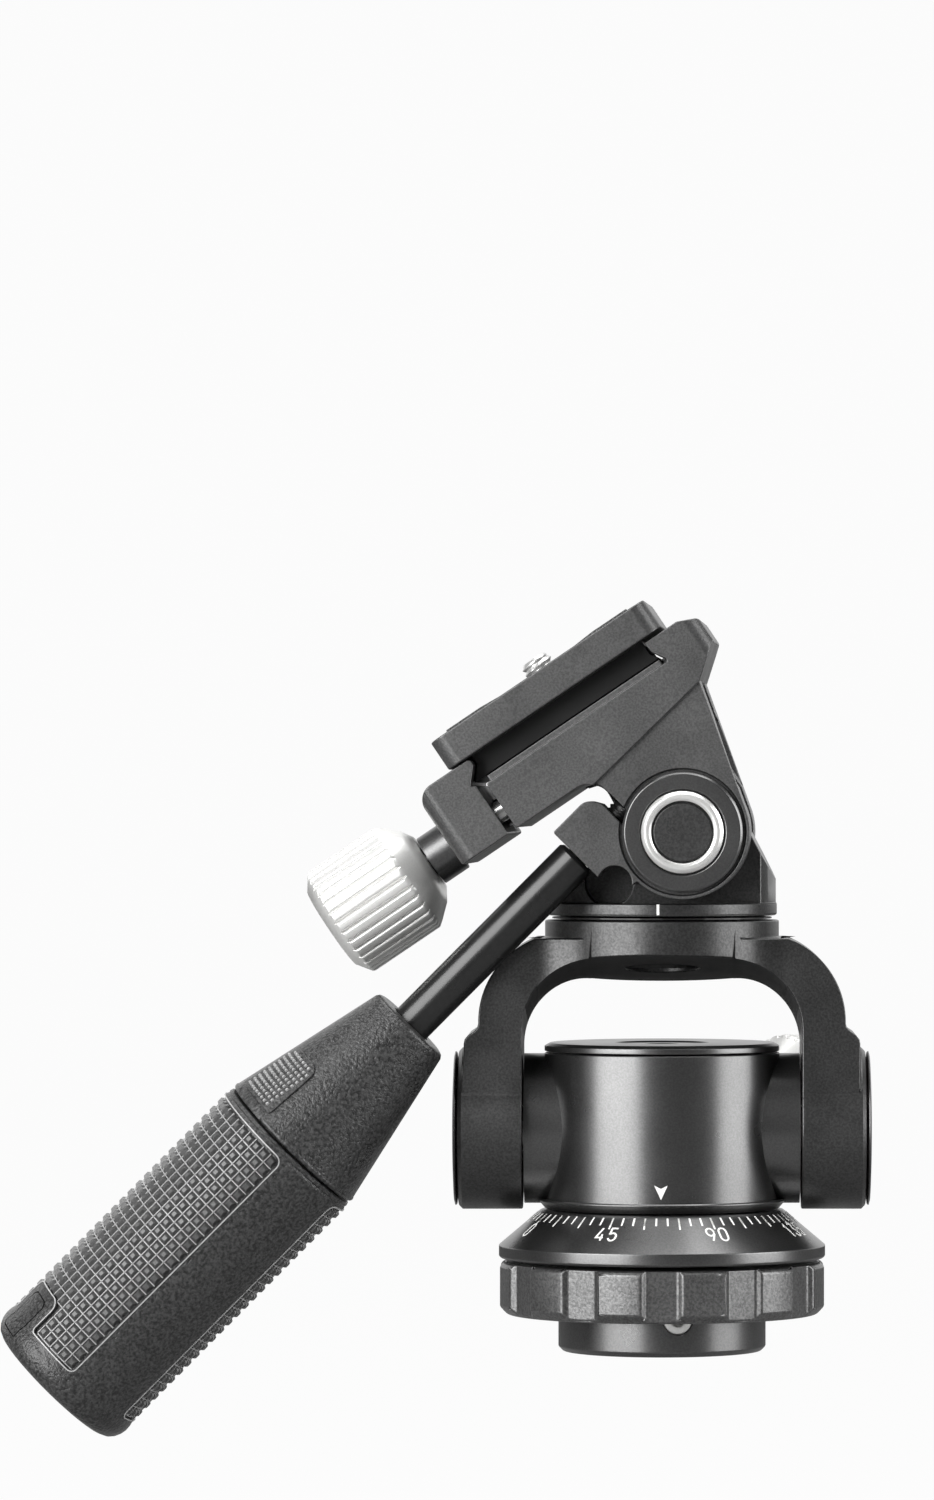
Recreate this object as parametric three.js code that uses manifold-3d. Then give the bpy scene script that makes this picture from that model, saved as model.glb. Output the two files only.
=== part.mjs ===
// Three way pan and tilt head for a tripod, in millimetres, +Z up.
// The origin is the middle of the collar's lower face, where the tripod screws in.
// X runs to the right, and Y runs away from someone who faces the index marks.
import * as THREE from "three";
import { mergeVertices } from "three/addons/utils/BufferGeometryUtils.js";
import Module from "manifold-3d";

const wasm = await Module();
wasm.setup();

// Angles
const degree = Math.PI / 180;
const quarter = 90 * degree;
const turntableYaw = -2 * degree;
const platformTilt = -34 * degree;
const tiltTravel = 124 * degree;
const handleDrop = -11.15 * degree;
const windowSlope = -6 * degree;
const sideLockHeading = 41 * degree;
const grubHeading = 8.8 * degree;
const buttonHeading = 48 * degree;

// Clearances and faceting
const gap = 0.3;
const overrun = 1;
const weldDistance = 1e-4;
const fine = 40;
const round = 32;
const plain = 24;
const small = 16;
const hexagon = 6;
const arcSteps = 3;

// Collar that takes the tripod's stud, with its insert and the spindle's head inside
const collar = {
  radius: 20.2,
  height: 11,
  chamfer: 0.8,
  hubRadius: 14,
  web: 2.9,
};
const insert = { radius: 6.7, threadRadius: 4.76, height: 9.4, lead: 0.7 };
const grub = { radius: 2.6, drop: 3.7, inset: 0.3, socketRadius: 1.2, socketDepth: 2 };
const spindle = { radius: 4, headHeight: 4.6, proud: 0.9, axleClearance: 0.8 };
const spindleHeadTop = insert.height + gap + spindle.headHeight;
const hubTop = spindleHeadTop + gap + collar.web;

// Ring that locks the pan
const lockRing = {
  radius: 31.8,
  skirt: 3.8,
  drop: 0.15,
  topChamfer: 0.7,
  bottomChamfer: 1.6,
  scallops: 12,
  scallopDepth: 1.2,
  scallopFloor: 6,
  scallopMouth: 8.4,
};
const ringBottom = collar.height - lockRing.skirt;
const ringTop = hubTop - lockRing.drop;

// Ring that carries the degree scale
const scale = {
  rise: 0.6,
  rimHeight: 2.5,
  rimChamfer: 0.4,
  topRadius: 23.6,
  coneHeight: 6.9,
};
const scaleBottom = hubTop + scale.rise;
const scaleRim = scaleBottom + scale.rimHeight;
const scaleTop = scaleRim + scale.coneHeight;
const thrustWasher = { inner: 8.5, outer: 16, thickness: 0.7 };

// Drum that pans on the base, and the height at which the fork swings on it
const drum = {
  flangeLip: 1.2,
  flangeHeight: 1.9,
  radius: 22.9,
  pocketRadius: 10,
  bossRadius: 14.6,
  bossSink: 1,
  bossCover: 0.2,
  bossDepthShare: 0.84,
  bossLength: 3.9,
  edge: 0.4,
};
const axle = { radius: 4.5, bushWall: 2, bushLength: 6 };
const spindleWasher = { radius: 8.6, thickness: 0.9 };
const spindleNut = { radius: 7, height: 2.6 };
const drumBottom = scaleTop + gap;
const flangeTop = drumBottom + drum.flangeHeight;
const flangeRadius = drum.radius + drum.flangeLip;
const bossReach = drum.radius + drum.bossLength;
const swingHeight = flangeTop + drum.bossRadius - drum.bossSink;
const drumTop = swingHeight + drum.bossRadius + drum.bossCover;
const spindleTop = swingHeight - axle.radius - spindle.axleClearance;
const nutBottom = spindleTop - spindle.proud - spindleNut.height;
const washerBottom = nutBottom - gap - spindleWasher.thickness;
const drumFloor = washerBottom - gap;
const cap = {
  rise: 1.9,
  rimInset: 1.1,
  rimDrop: 0.6,
  recessRadius: 9.2,
  recessDepth: 0.9,
  recessSlope: 0.8,
  socketRadius: 3.2,
  socketDepth: 0.5,
  spigotLength: 2.9,
  spigotWall: 2.2,
};
const capTop = drumTop + cap.rise;

// Fork, in the frame of the axle that it swings on
const fork = {
  armThickness: 11.2,
  bossProud: 1.3,
  bossRadius: 15.75,
  bossChamfer: 0.8,
  upperInset: 2.8,
  stepRise: 1.65,
  stepMiddle: 1.3,
  stepHeight: 3,
  stepLip: 0.4,
  shoulderRise: 0.8,
  shoulderRadius: 17.1,
  shoulderSineShare: 0.9357,
  halfDepth: 13.9,
  discLip: 0.4,
  discHeight: 3.4,
  waistRadius: 14.5,
  bridgeHeight: 9.87,
  windowCorner: 13.3,
  nutInset: 4.8,
  nutBore: 8.4,
  spindleSeatDepth: 5.5,
};
const armInner = bossReach + gap;
const armOuter = armInner + fork.armThickness;
const upperOuter = armOuter - fork.upperInset;
const forkBossOuter = armOuter + fork.bossProud;
const stepBottom = fork.bossRadius + fork.stepRise;
const stepTop = stepBottom + fork.stepHeight;
const shoulderBase = stepTop + fork.shoulderRise;
const armTop = shoulderBase + fork.shoulderRadius * fork.shoulderSineShare;
const discTop = armTop + fork.discHeight;
const windowHeight = discTop - fork.bridgeHeight;
const nutSeat = armOuter - fork.nutInset;
const spindleBoreSeat = discTop - fork.spindleSeatDepth;
const axleNut = { radius: 7.8, height: 2.4 };
const nutEnd = nutSeat + gap + axleNut.height;
const endCap = { radius: 15, rim: 0.3, dome: 0.5, domeShares: [1, 0.75, 0.4] };

// Turntable on the fork, and the post that the platform tilts on
const turntable = {
  radius: 22.4,
  thickness: 2.4,
  edge: 0.3,
  washerInner: 7,
  washerOuter: 21.4,
  washerThickness: 0.3,
  spindleRadius: 5,
  spindleHeadRadius: 7,
  spindleHeadHeight: 3.5,
  spindleDrop: 2.1,
};
const hub = {
  wall: 1.3,
  clearance: 1,
  capRadius: 11.6,
  capEdge: 0.5,
  capBase: 1.1,
  capDepth: 1.2,
  ringOuter: 7.9,
  ringBevel: 0.7,
  ringInner: 5.7,
  ringProud: 0.8,
  discGap: 0.4,
  discProud: 0.3,
  socketRadius: 3,
};
const hubRadius = hub.capRadius + hub.wall;
const forkTop = swingHeight + discTop;
const turntableBottom = forkTop + gap + turntable.washerThickness + gap;
const turntableTop = turntableBottom + turntable.thickness;
const tiltAxis = { x: 4.8, z: turntableTop + hubRadius + hub.clearance };
const tiltAxleRadius = 4;
const turntableSpindleTop = tiltAxis.z - tiltAxleRadius - turntable.spindleDrop;
const post = {
  inset: 0.2,
  halfDepth: 10.7,
  shoulder: 4.6,
  crownRadius: 12.5,
  leftShoulder: 3,
  leftNeck: 14.2,
  leftNeckHeight: 6.8,
  trunnionRadius: 7.4,
  reliefRadius: 4.7,
  reliefX: -9.9,
  reliefHeight: 4.1,
  reliefDepth: 5,
};
const postRadius = turntable.radius - post.inset;
const discRadius = turntable.radius + fork.discLip;

// Platform, in the frame of the tilt axle: p along the plate, q square to it
const platform = {
  standOff: 5.5,
  thickness: 10.4,
  left: -26,
  lipTip: 14.3,
  lipUndercut: 1.6,
  lipFoot: 0.7,
  lipHeight: 2.5,
  lipRise: 2.1,
  lipWidth: 7.3,
  shoulder: 3.9,
  rightDrop: 1.4,
  rightTopDrop: 1.7,
  wedgeInset: 6.6,
  wedgeRise: 3.8,
  foldDrop: 1.4,
  foldInset: 0.7,
  overhang: 2.6,
  cheekInset: 1,
  cheekThickness: 13,
  cornerRadius: 3,
  edge: 0.5,
  filletCorner: -8.6,
  filletRadius: 3.4,
  screwBoreDepth: 16.5,
};
const platformBottom = hubRadius + platform.standOff;
const platformFloor = platformBottom + platform.thickness;
const lipApexHeight = platformFloor + platform.lipFoot;
const lipTipHeight = lipApexHeight + platform.lipHeight;
const lipTop = lipTipHeight + platform.lipRise;
const lipApex = platform.lipTip + platform.lipUndercut;
const topEnd = platform.lipTip + platform.lipWidth;
const platformRight = topEnd + platform.shoulder;
const wedgeTop = platformRight - platform.wedgeInset;
const wedgeTopHeight = platformBottom + platform.wedgeRise;
const platformHalfDepth = turntable.radius + platform.overhang;
const cheekOuter = platformHalfDepth - platform.cheekInset;
const cheekInner = cheekOuter - platform.cheekThickness;
const trunnionEnd = cheekOuter - hub.capDepth;
const capSeat = trunnionEnd + gap;
const hubFloor = capSeat + hub.capBase;
const hubFront = hubFloor + hub.capDepth;

// Handle and grip, along the handle from the point beside the tilt axle
const rod = {
  radius: 4.05,
  threadRadius: 2.75,
  stopRadius: 5.6,
  stopLength: 4,
  stopInset: 8,
  chamfer: 0.6,
};
const grip = {
  start: 63.1,
  tipRadius: 8.7,
  tipRounding: 0.8,
  coneLength: 32.6,
  radius: 15.95,
  wall: 2.45,
  neckInset: 1.8,
  guideLength: 20,
  boreRadius: 6.6,
  sleeveLength: 64.8,
  sleeveRounding: 2.2,
  domeRise: 1.2,
  domeShares: [1, 0.7, 0.35],
  endWall: 3,
};
const neckRadius = grip.radius - grip.wall - gap;
const coneEnd = grip.start + grip.coneLength;
const sleeveStart = coneEnd + gap;
const sleeveEnd = sleeveStart + grip.sleeveLength;
const sleeveFloor = sleeveEnd - grip.endWall;
const neckEnd = sleeveFloor - grip.neckInset;
const rodEnd = neckEnd - rod.stopInset;
const button = {
  seam: 2.1,
  length: 12.4,
  halfWidth: 4.9,
  proud: 0.45,
  thickness: 3,
  travel: 1.2,
};
const buttonEnd = coneEnd - button.seam;
const buttonStart = buttonEnd - button.length;

// Split clamp: its lug and slot are set out along the handle (u) and across it (v)
const clamp = {
  lead: 0.1,
  y: -19,
  threadWall: 0.33,
  slotNear: 4.5,
  slotWidth: 2.5,
  slotTop: 8,
  slotBottom: -6,
  lugLength: 10.5,
  lugTop: 4.7,
  lugShoulder: 1.6,
  lugShoulderRadius: 2.8,
  lugInnerTop: 1.9,
  lugBottom: -12.4,
  lugRoot: 3,
  lugRootBottom: -14,
  biteInset: 1.5,
  biteV: -10.5,
  biteRadius: 3.3,
  threadBoreEnd: -7.2,
};
const slotFar = clamp.slotNear + clamp.slotWidth;
const lugEnd = slotFar + clamp.lugLength;
const rodV = post.trunnionRadius + 2 * gap + rod.threadRadius + clamp.threadWall - hubRadius;

// Moving jaw with its screw, pins and knob
const jaw = {
  slit: 1.9,
  width: 10.8,
  hookReach: 1.8,
  apexInset: 0.9,
  throatRise: 0.8,
  apexRise: 0.4,
  hookHeight: 3.1,
  hookLip: 1.1,
  crown: 0.4,
  topRadius: 3.6,
  screwRise: 4.7,
  pinY: 16,
  pinRadius: 2.1,
  pinDepth: 8,
};
const jawRight = platform.left - jaw.slit;
const jawLeft = jawRight - jaw.width;
const jawHook = jawRight + jaw.hookReach;
const jawApex = jawRight - jaw.apexInset;
const jawThroat = platformFloor + jaw.throatRise;
const jawApexHeight = jawThroat + jaw.apexRise;
const hookTip = jawApexHeight + jaw.hookHeight;
const hookTop = hookTip + jaw.hookLip;
const jawTop = hookTop + jaw.crown;
const screwHeight = platformBottom + jaw.screwRise;
const screwBoreEnd = platform.left + platform.screwBoreDepth;
const knob = {
  radius: 11.65,
  coneSmall: 5.9,
  coneLarge: 10.9,
  coneLength: 4.4,
  length: 23.1,
  endRadius: 8.6,
  endChamfer: 2.3,
  stemRadius: 5.2,
  stemLength: 5.6,
  boreDepth: 14,
  flutes: 30,
  fluteDepth: 0.75,
};
const screwRadius = 3;

// Lock for the side tilt, behind the drum, and the brake shoe that it drives
const sideLock = {
  rise: 7.2,
  tip: 5.1,
  tipRadius: 0.8,
  tipLength: 3,
  seatDepth: 5.2,
  stemReach: 10.1,
  stemRadius: 4.8,
  knobRadius: 10,
  coneSmall: 6,
  coneLength: 3.4,
  length: 9,
  endChamfer: 1,
  endRadius: 8.4,
  boreDepth: 5,
  flutes: 26,
  fluteDepth: 0.7,
};
const sideLockHeight = swingHeight + sideLock.rise;
const lockSeatDepth = drum.radius - sideLock.seatDepth;
const lockKnobStart = drum.radius + sideLock.stemReach;
const shoe = {
  back: -6,
  front: 5,
  frontTop: 2.2,
  halfWidth: 5,
  toe: 1,
  topRise: 3.6,
};

// Quick release plate, camera screw and pads
const plate = {
  leftReach: 4.5,
  rightReach: 4.3,
  lift: 0.35,
  thickness: 6.25,
  halfDepth: 26,
  cornerRadius: 3.2,
  dovetailHalfDepth: 19,
  neckInset: 0.45,
  tailLift: 1.5,
};
const plateLeft = jawHook - plate.leftReach;
const plateRight = platform.lipTip + plate.rightReach;
const plateBottom = jawTop + plate.lift;
const plateTop = plateBottom + plate.thickness;
const tailHeight = platformFloor + plate.tailLift;
const cameraScrew = {
  radius: 3.175,
  headRadius: 8,
  headLift: 2.1,
  headHeight: 2.8,
  proud: 3.4,
  tipChamfer: 0.6,
};
const screwHeadBottom = platformFloor + cameraScrew.headLift;
const screwHeadTop = screwHeadBottom + cameraScrew.headHeight;
const screwTop = plateTop + cameraScrew.proud;
const pad = {
  inner: 7.4,
  outer: 20.9,
  inset: 4.4,
  sink: 0.6,
  innerHeight: 0.1,
  middle: 13,
  middleHeight: 0.5,
  outerHeight: 0.5,
};
const padHalfDepth = plate.halfDepth - pad.inset;

// Materials
function finish(color, roughness, metalness) {
  return new THREE.MeshStandardMaterial({ color, roughness, metalness });
}
const blackAnodised = finish(0x2b2b2c, 0.42, 0.75);
const satinBlack = finish(0x3a3a3b, 0.5, 0.6);
const silverAnodised = finish(0xe2e2e0, 0.28, 0.9);
const blackPaint = finish(0x1c1c1d, 0.35, 0.3);
const steel = finish(0xb9b9b8, 0.3, 1);
const brass = finish(0xb08d4c, 0.4, 0.9);
const mouldedBlack = finish(0x333334, 0.62, 0);
const rubber = finish(0x39393a, 0.78, 0);
const slipPlastic = finish(0xe9e7e0, 0.5, 0);

// Solids made from three.js geometry, so that they can be joined and cut
function volumeOf(geometry) {
  const place = geometry.getAttribute("position");
  const a = new THREE.Vector3();
  const b = new THREE.Vector3();
  const c = new THREE.Vector3();
  let volume = 0;
  for (let i = 0; i < place.count; i += 3) {
    a.fromBufferAttribute(place, i);
    b.fromBufferAttribute(place, i + 1);
    c.fromBufferAttribute(place, i + 2);
    volume += a.dot(b.cross(c)) / 6;
  }
  return volume;
}

function solidOf(geometry) {
  const loose = geometry.index ? geometry.toNonIndexed() : geometry.clone();
  const inward = volumeOf(loose) < 0;
  loose.deleteAttribute("normal");
  loose.deleteAttribute("uv");
  const merged = mergeVertices(loose, weldDistance);
  const triVerts = new Uint32Array(merged.index.array);
  if (inward) triVerts.reverse();
  const vertProperties = merged.attributes.position.array;
  return new wasm.Manifold(new wasm.Mesh({ numProp: 3, vertProperties, triVerts }));
}

function geometryOf(solid) {
  const mesh = solid.getMesh();
  const geometry = new THREE.BufferGeometry();
  geometry.setAttribute("position", new THREE.BufferAttribute(mesh.vertProperties, 3));
  geometry.setIndex(new THREE.BufferAttribute(mesh.triVerts, 1));
  geometry.computeVertexNormals();
  return geometry;
}

function join(first, ...others) {
  return geometryOf(others.reduce((sum, other) => sum.add(solidOf(other)), solidOf(first)));
}

function cut(first, ...tools) {
  return geometryOf(tools.reduce((rest, tool) => rest.subtract(solidOf(tool)), solidOf(first)));
}

function common(first, ...others) {
  return geometryOf(others.reduce((rest, other) => rest.intersect(solidOf(other)), solidOf(first)));
}

// A profile of [radius, height] pairs, turned about the Z axis
function turned(profile, sides = round) {
  const points = profile.map(([radius, height]) => new THREE.Vector2(radius, height));
  if (profile[0][0] !== 0) points.push(points[0].clone());
  return new THREE.LatheGeometry(points, sides).rotateX(quarter);
}

function cylinder(radius, from, to, sides = round) {
  return turned([[0, from], [radius, from], [radius, to], [0, to]], sides);
}

function tube(inner, outer, from, to, sides = round) {
  return turned([[inner, from], [outer, from], [outer, to], [inner, to]], sides);
}

function hexNut(bore, radius, from, to) {
  return cut(cylinder(radius, from, to, hexagon), cylinder(bore, from - overrun, to + overrun, small));
}

function alongX(geometry) {
  return geometry.rotateY(quarter);
}

function alongY(geometry) {
  return geometry.rotateX(-quarter);
}

// A closed outline of corners [x, y] or [x, y, radius], whose arcs are tangent to its sides
function outline(corners) {
  const shape = new THREE.Shape();
  const at = (i) => new THREE.Vector2(...corners.at(i % corners.length).slice(0, 2));
  corners.forEach(([x, y, radius = 0], i) => {
    const here = new THREE.Vector2(x, y);
    const before = at(i - 1).sub(here).normalize();
    const after = at(i + 1).sub(here).normalize();
    const half = Math.acos(THREE.MathUtils.clamp(before.dot(after), -1, 1)) / 2;
    const start = here.clone().addScaledVector(before, radius / Math.tan(half));
    if (i === 0) shape.moveTo(start.x, start.y);
    else shape.lineTo(start.x, start.y);
    if (radius === 0) return;
    const middle = before.clone().add(after).normalize();
    const centre = here.clone().addScaledVector(middle, radius / Math.sin(half));
    const end = here.clone().addScaledVector(after, radius / Math.tan(half));
    const from = Math.atan2(start.y - centre.y, start.x - centre.x);
    const to = Math.atan2(end.y - centre.y, end.x - centre.x);
    shape.absarc(centre.x, centre.y, radius, from, to, before.cross(after) > 0);
  });
  shape.closePath();
  return shape;
}

// An outline in X and Z, from one Y to another
function crossPlate(shape, from, to, steps = arcSteps) {
  const options = { depth: to - from, bevelEnabled: false, curveSegments: steps };
  return new THREE.ExtrudeGeometry(shape, options).rotateX(quarter).translate(0, to, 0);
}

// An outline in X and Y, from one Z to another
function slab(shape, from, to, steps = arcSteps) {
  const options = { depth: to - from, bevelEnabled: false, curveSegments: steps };
  return new THREE.ExtrudeGeometry(shape, options).translate(0, 0, from);
}

function rectangle(x0, y0, x1, y1, radius = 0) {
  return outline([[x0, y0, radius], [x1, y0, radius], [x1, y1, radius], [x0, y1, radius]]);
}

// Groups: each stands at its joint, in its parent's frame
const head = new THREE.Group();
const forkFrame = new THREE.Group();
forkFrame.position.z = swingHeight;
const turntableFrame = new THREE.Group();
turntableFrame.rotation.z = turntableYaw;
const platformFrame = new THREE.Group();
platformFrame.position.set(tiltAxis.x, 0, tiltAxis.z);
platformFrame.rotation.y = platformTilt;
const handleFrame = new THREE.Group();
const along = new THREE.Vector2(Math.sin(handleDrop - quarter), Math.cos(handleDrop - quarter));
const across = new THREE.Vector2(along.y, -along.x);
function onClamp(u, v) {
  const reach = u + clamp.lead;
  const rise = v + hubRadius;
  return [reach * along.x + rise * across.x, reach * along.y + rise * across.y];
}
const [handleP, handleQ] = onClamp(0, rodV);
handleFrame.position.set(handleP, clamp.y, handleQ);
handleFrame.rotation.y = handleDrop - quarter;
const knobFrame = new THREE.Group();
knobFrame.position.set(jawLeft, 0, screwHeight);
knobFrame.rotation.y = -quarter;
const sideLockFrame = new THREE.Group();
sideLockFrame.position.z = sideLockHeight;
sideLockFrame.rotation.set(-quarter, 0, -sideLockHeading, "ZYX");
head.add(forkFrame, turntableFrame, sideLockFrame);
turntableFrame.add(platformFrame);
platformFrame.add(handleFrame, knobFrame);

function piece(name, geometry, material, frame = head) {
  const mesh = new THREE.Mesh(geometry, material);
  mesh.name = name;
  frame.add(mesh);
  return mesh;
}

// The cross section of a fluted knob
function fluteOutline(radius, depth, flutes) {
  const shape = new THREE.Shape();
  const step = (2 * Math.PI) / flutes;
  const ridgeShares = [0.14, 0.34, 0.66, 0.86];
  const riseShares = [0.62, 1, 1, 0.62];
  for (let i = 0; i < flutes; i += 1) {
    const valley = i * step;
    const low = radius - depth;
    if (i === 0) shape.moveTo(low, 0);
    else shape.lineTo(low * Math.cos(valley), low * Math.sin(valley));
    ridgeShares.forEach((share, n) => {
      const reach = low + depth * riseShares[n];
      const angle = valley + share * step;
      shape.lineTo(reach * Math.cos(angle), reach * Math.sin(angle));
    });
  }
  shape.closePath();
  return shape;
}

// A fluted knob with a cone towards its stem, its stem end at the given height
function flutedKnob(size, start) {
  const end = start + size.length;
  const body = turned([
    [0, start],
    [size.coneSmall, start],
    [size.coneLarge, start + size.coneLength],
    [size.radius + size.fluteDepth, start + size.coneLength + size.fluteDepth],
    [size.radius + size.fluteDepth, end - size.endChamfer - size.fluteDepth / 2],
    [size.endRadius, end],
    [0, end],
  ], round);
  const flutes = slab(fluteOutline(size.radius, size.fluteDepth, size.flutes), start - overrun, end + overrun);
  const bore = cylinder(screwRadius + gap, start - overrun, start + size.boreDepth + gap, small);
  return cut(common(flutes, body), bore);
}

// Base
const collarFloor = spindleHeadTop + gap;
const insertBore = insert.radius + gap;
const spindleBore = spindle.radius + gap;
const collarSolid = turned([
  [insertBore, 0],
  [collar.radius - collar.chamfer, 0],
  [collar.radius, collar.chamfer],
  [collar.radius, collar.height],
  [collar.hubRadius, collar.height],
  [collar.hubRadius, hubTop],
  [spindleBore, hubTop],
  [spindleBore, collarFloor],
  [insertBore, collarFloor],
], fine);
const grubBore = cylinder(grub.radius + gap, 0, collar.radius + overrun, small)
  .rotateX(quarter)
  .rotateZ(grubHeading)
  .translate(0, 0, collar.height - grub.drop);
piece("base_collar", cut(collarSolid, grubBore), blackAnodised);

piece("thread_insert", turned([
  [insert.threadRadius + insert.lead, gap],
  [insert.radius, gap],
  [insert.radius, insert.height],
  [insert.threadRadius, insert.height],
  [insert.threadRadius, gap + insert.lead],
], small), brass);

const grubTip = insert.radius + 2 * gap;
const grubFace = collar.radius - grub.inset;
const grubScrew = turned([
  [0, grubTip],
  [grub.radius, grubTip],
  [grub.radius, grubFace],
  [grub.socketRadius, grubFace],
  [grub.socketRadius, grubFace - grub.socketDepth],
  [0, grubFace - grub.socketDepth],
], small).rotateX(quarter).rotateZ(grubHeading).translate(0, 0, collar.height - grub.drop);
piece("collar_grub_screw", grubScrew, steel);

piece("pan_spindle", turned([
  [0, insert.height + gap],
  [insert.radius, insert.height + gap],
  [insert.radius, spindleHeadTop],
  [spindle.radius, spindleHeadTop],
  [spindle.radius, spindleTop],
  [0, spindleTop],
], small), steel);

// Pan lock ring with its scallops
const ringBody = turned([
  [collar.radius + gap, ringBottom],
  [lockRing.radius - lockRing.bottomChamfer, ringBottom],
  [lockRing.radius, ringBottom + lockRing.bottomChamfer],
  [lockRing.radius, ringTop - lockRing.topChamfer],
  [lockRing.radius - lockRing.topChamfer, ringTop],
  [collar.hubRadius + gap, ringTop],
  [collar.hubRadius + gap, collar.height + gap],
  [collar.radius + gap, collar.height + gap],
], fine);
const scallopFloorRadius = lockRing.radius - lockRing.scallopDepth;
const scallopSlope = (lockRing.scallopMouth - lockRing.scallopFloor) / (2 * lockRing.scallopDepth);
const scallopEnd = lockRing.radius + overrun;
const scallopEndHalf = lockRing.scallopFloor / 2 + (scallopEnd - scallopFloorRadius) * scallopSlope;
const scallopShape = outline([
  [scallopFloorRadius, -lockRing.scallopFloor / 2],
  [scallopEnd, -scallopEndHalf],
  [scallopEnd, scallopEndHalf],
  [scallopFloorRadius, lockRing.scallopFloor / 2],
]);
const scallopTools = Array.from({ length: lockRing.scallops }, (_, i) =>
  slab(scallopShape, ringBottom - overrun, ringTop + overrun)
    .rotateZ((i * 2 * Math.PI) / lockRing.scallops - quarter));
piece("pan_lock_ring", cut(ringBody, ...scallopTools), blackAnodised);

// Scale ring, with a seat for the thrust washer
const washerSeat = scaleTop - thrustWasher.thickness - gap;
piece("scale_ring", turned([
  [spindleBore, hubTop + gap],
  [collar.hubRadius + gap, hubTop + gap],
  [collar.hubRadius + gap, scaleBottom],
  [lockRing.radius - scale.rimChamfer, scaleBottom],
  [lockRing.radius, scaleBottom + scale.rimChamfer],
  [lockRing.radius, scaleRim],
  [scale.topRadius, scaleTop],
  [thrustWasher.outer, scaleTop],
  [thrustWasher.outer, washerSeat],
  [thrustWasher.inner, washerSeat],
  [thrustWasher.inner, scaleTop],
  [spindleBore, scaleTop],
], fine), blackAnodised);
piece("pan_thrust_washer",
  tube(thrustWasher.inner + gap, thrustWasher.outer - gap, scaleTop - thrustWasher.thickness, scaleTop),
  slipPlastic);

// Drum, bored for the spindle, the axle with its bushes, and the side lock's screw
const drumShell = turned([
  [spindleBore, drumBottom],
  [flangeRadius, drumBottom],
  [flangeRadius, flangeTop - drum.edge],
  [flangeRadius - drum.edge, flangeTop],
  [drum.radius, flangeTop],
  [drum.radius, drumTop],
  [drum.pocketRadius, drumTop],
  [drum.pocketRadius, drumFloor],
  [spindleBore, drumFloor],
], fine);
const bossLeft = -bossReach;
const boss = alongX(cylinder(drum.bossRadius, bossLeft, bossReach, fine))
  .scale(1, drum.bossDepthShare, 1)
  .translate(0, 0, swingHeight);
const drumPocket = cylinder(drum.pocketRadius, drumFloor, drumTop + overrun);
const bushOuter = axle.radius + gap + axle.bushWall;
const bushInnerEnd = bossReach - axle.bushLength - gap;
const axleBore = alongX(cylinder(axle.radius + gap, bossLeft - overrun, bossReach + overrun, small));
const bushSeats = [-1, 1].map((side) =>
  alongX(cylinder(bushOuter + gap, bushInnerEnd - gap, bossReach + overrun, small))
    .rotateZ(side < 0 ? Math.PI : 0).translate(0, 0, swingHeight));
const lockTurn = (geometry) =>
  geometry.rotateX(-quarter).rotateZ(-sideLockHeading).translate(0, 0, sideLockHeight);
const lockBore = lockTurn(cylinder(screwRadius + gap, 0, flangeRadius + overrun, small));
const lockSeat = lockTurn(cylinder(sideLock.stemRadius + gap, lockSeatDepth, bossReach + overrun, small));
const spindleClear = cylinder(spindleBore, drumBottom - overrun, drumFloor + overrun, small);
piece("drum_body", cut(join(drumShell, boss), drumPocket, axleBore.translate(0, 0, swingHeight),
  ...bushSeats, lockBore, lockSeat, spindleClear), blackAnodised);

const capBottom = drumTop + gap;
const capRecess = capTop - cap.recessDepth;
piece("drum_cap", turned([
  [0, capBottom],
  [drum.pocketRadius - gap - cap.spigotWall, capBottom],
  [drum.pocketRadius - gap - cap.spigotWall, capBottom - cap.spigotLength],
  [drum.pocketRadius - gap, capBottom - cap.spigotLength],
  [drum.pocketRadius - gap, capBottom],
  [drum.radius, capBottom],
  [drum.radius, capTop - cap.rimDrop],
  [drum.radius - cap.rimInset, capTop],
  [cap.recessRadius, capTop],
  [cap.recessRadius - cap.recessSlope, capRecess],
  [cap.socketRadius, capRecess],
  [cap.socketRadius, capRecess - cap.socketDepth],
  [0, capRecess - cap.socketDepth],
], fine), satinBlack);

piece("spindle_washer",
  tube(spindleBore, spindleWasher.radius, washerBottom, washerBottom + spindleWasher.thickness, small), steel);
piece("spindle_nut", hexNut(spindleBore, spindleNut.radius, nutBottom, nutBottom + spindleNut.height), steel);

for (const [name, turn] of [["left_bush", Math.PI], ["right_bush", 0]]) {
  const bush = alongX(tube(axle.radius + gap, bushOuter, bushInnerEnd, bossReach - gap, small));
  piece(name, bush.rotateZ(turn).translate(0, 0, swingHeight), brass);
}

// Brake shoe on the axle, driven down by the side lock's point
const shoeBottom = swingHeight + axle.radius + gap;
const shoeOutline = outline([
  [shoe.back, shoeBottom],
  [shoe.front, shoeBottom],
  [shoe.front, shoeBottom + shoe.toe],
  [shoe.frontTop, sideLockHeight + shoe.topRise],
  [shoe.back, sideLockHeight + shoe.topRise],
]);
const shoeSolid = crossPlate(shoeOutline, -shoe.halfWidth, shoe.halfWidth).rotateZ(quarter - sideLockHeading);
piece("brake_shoe", shoeSolid, brass);

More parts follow.
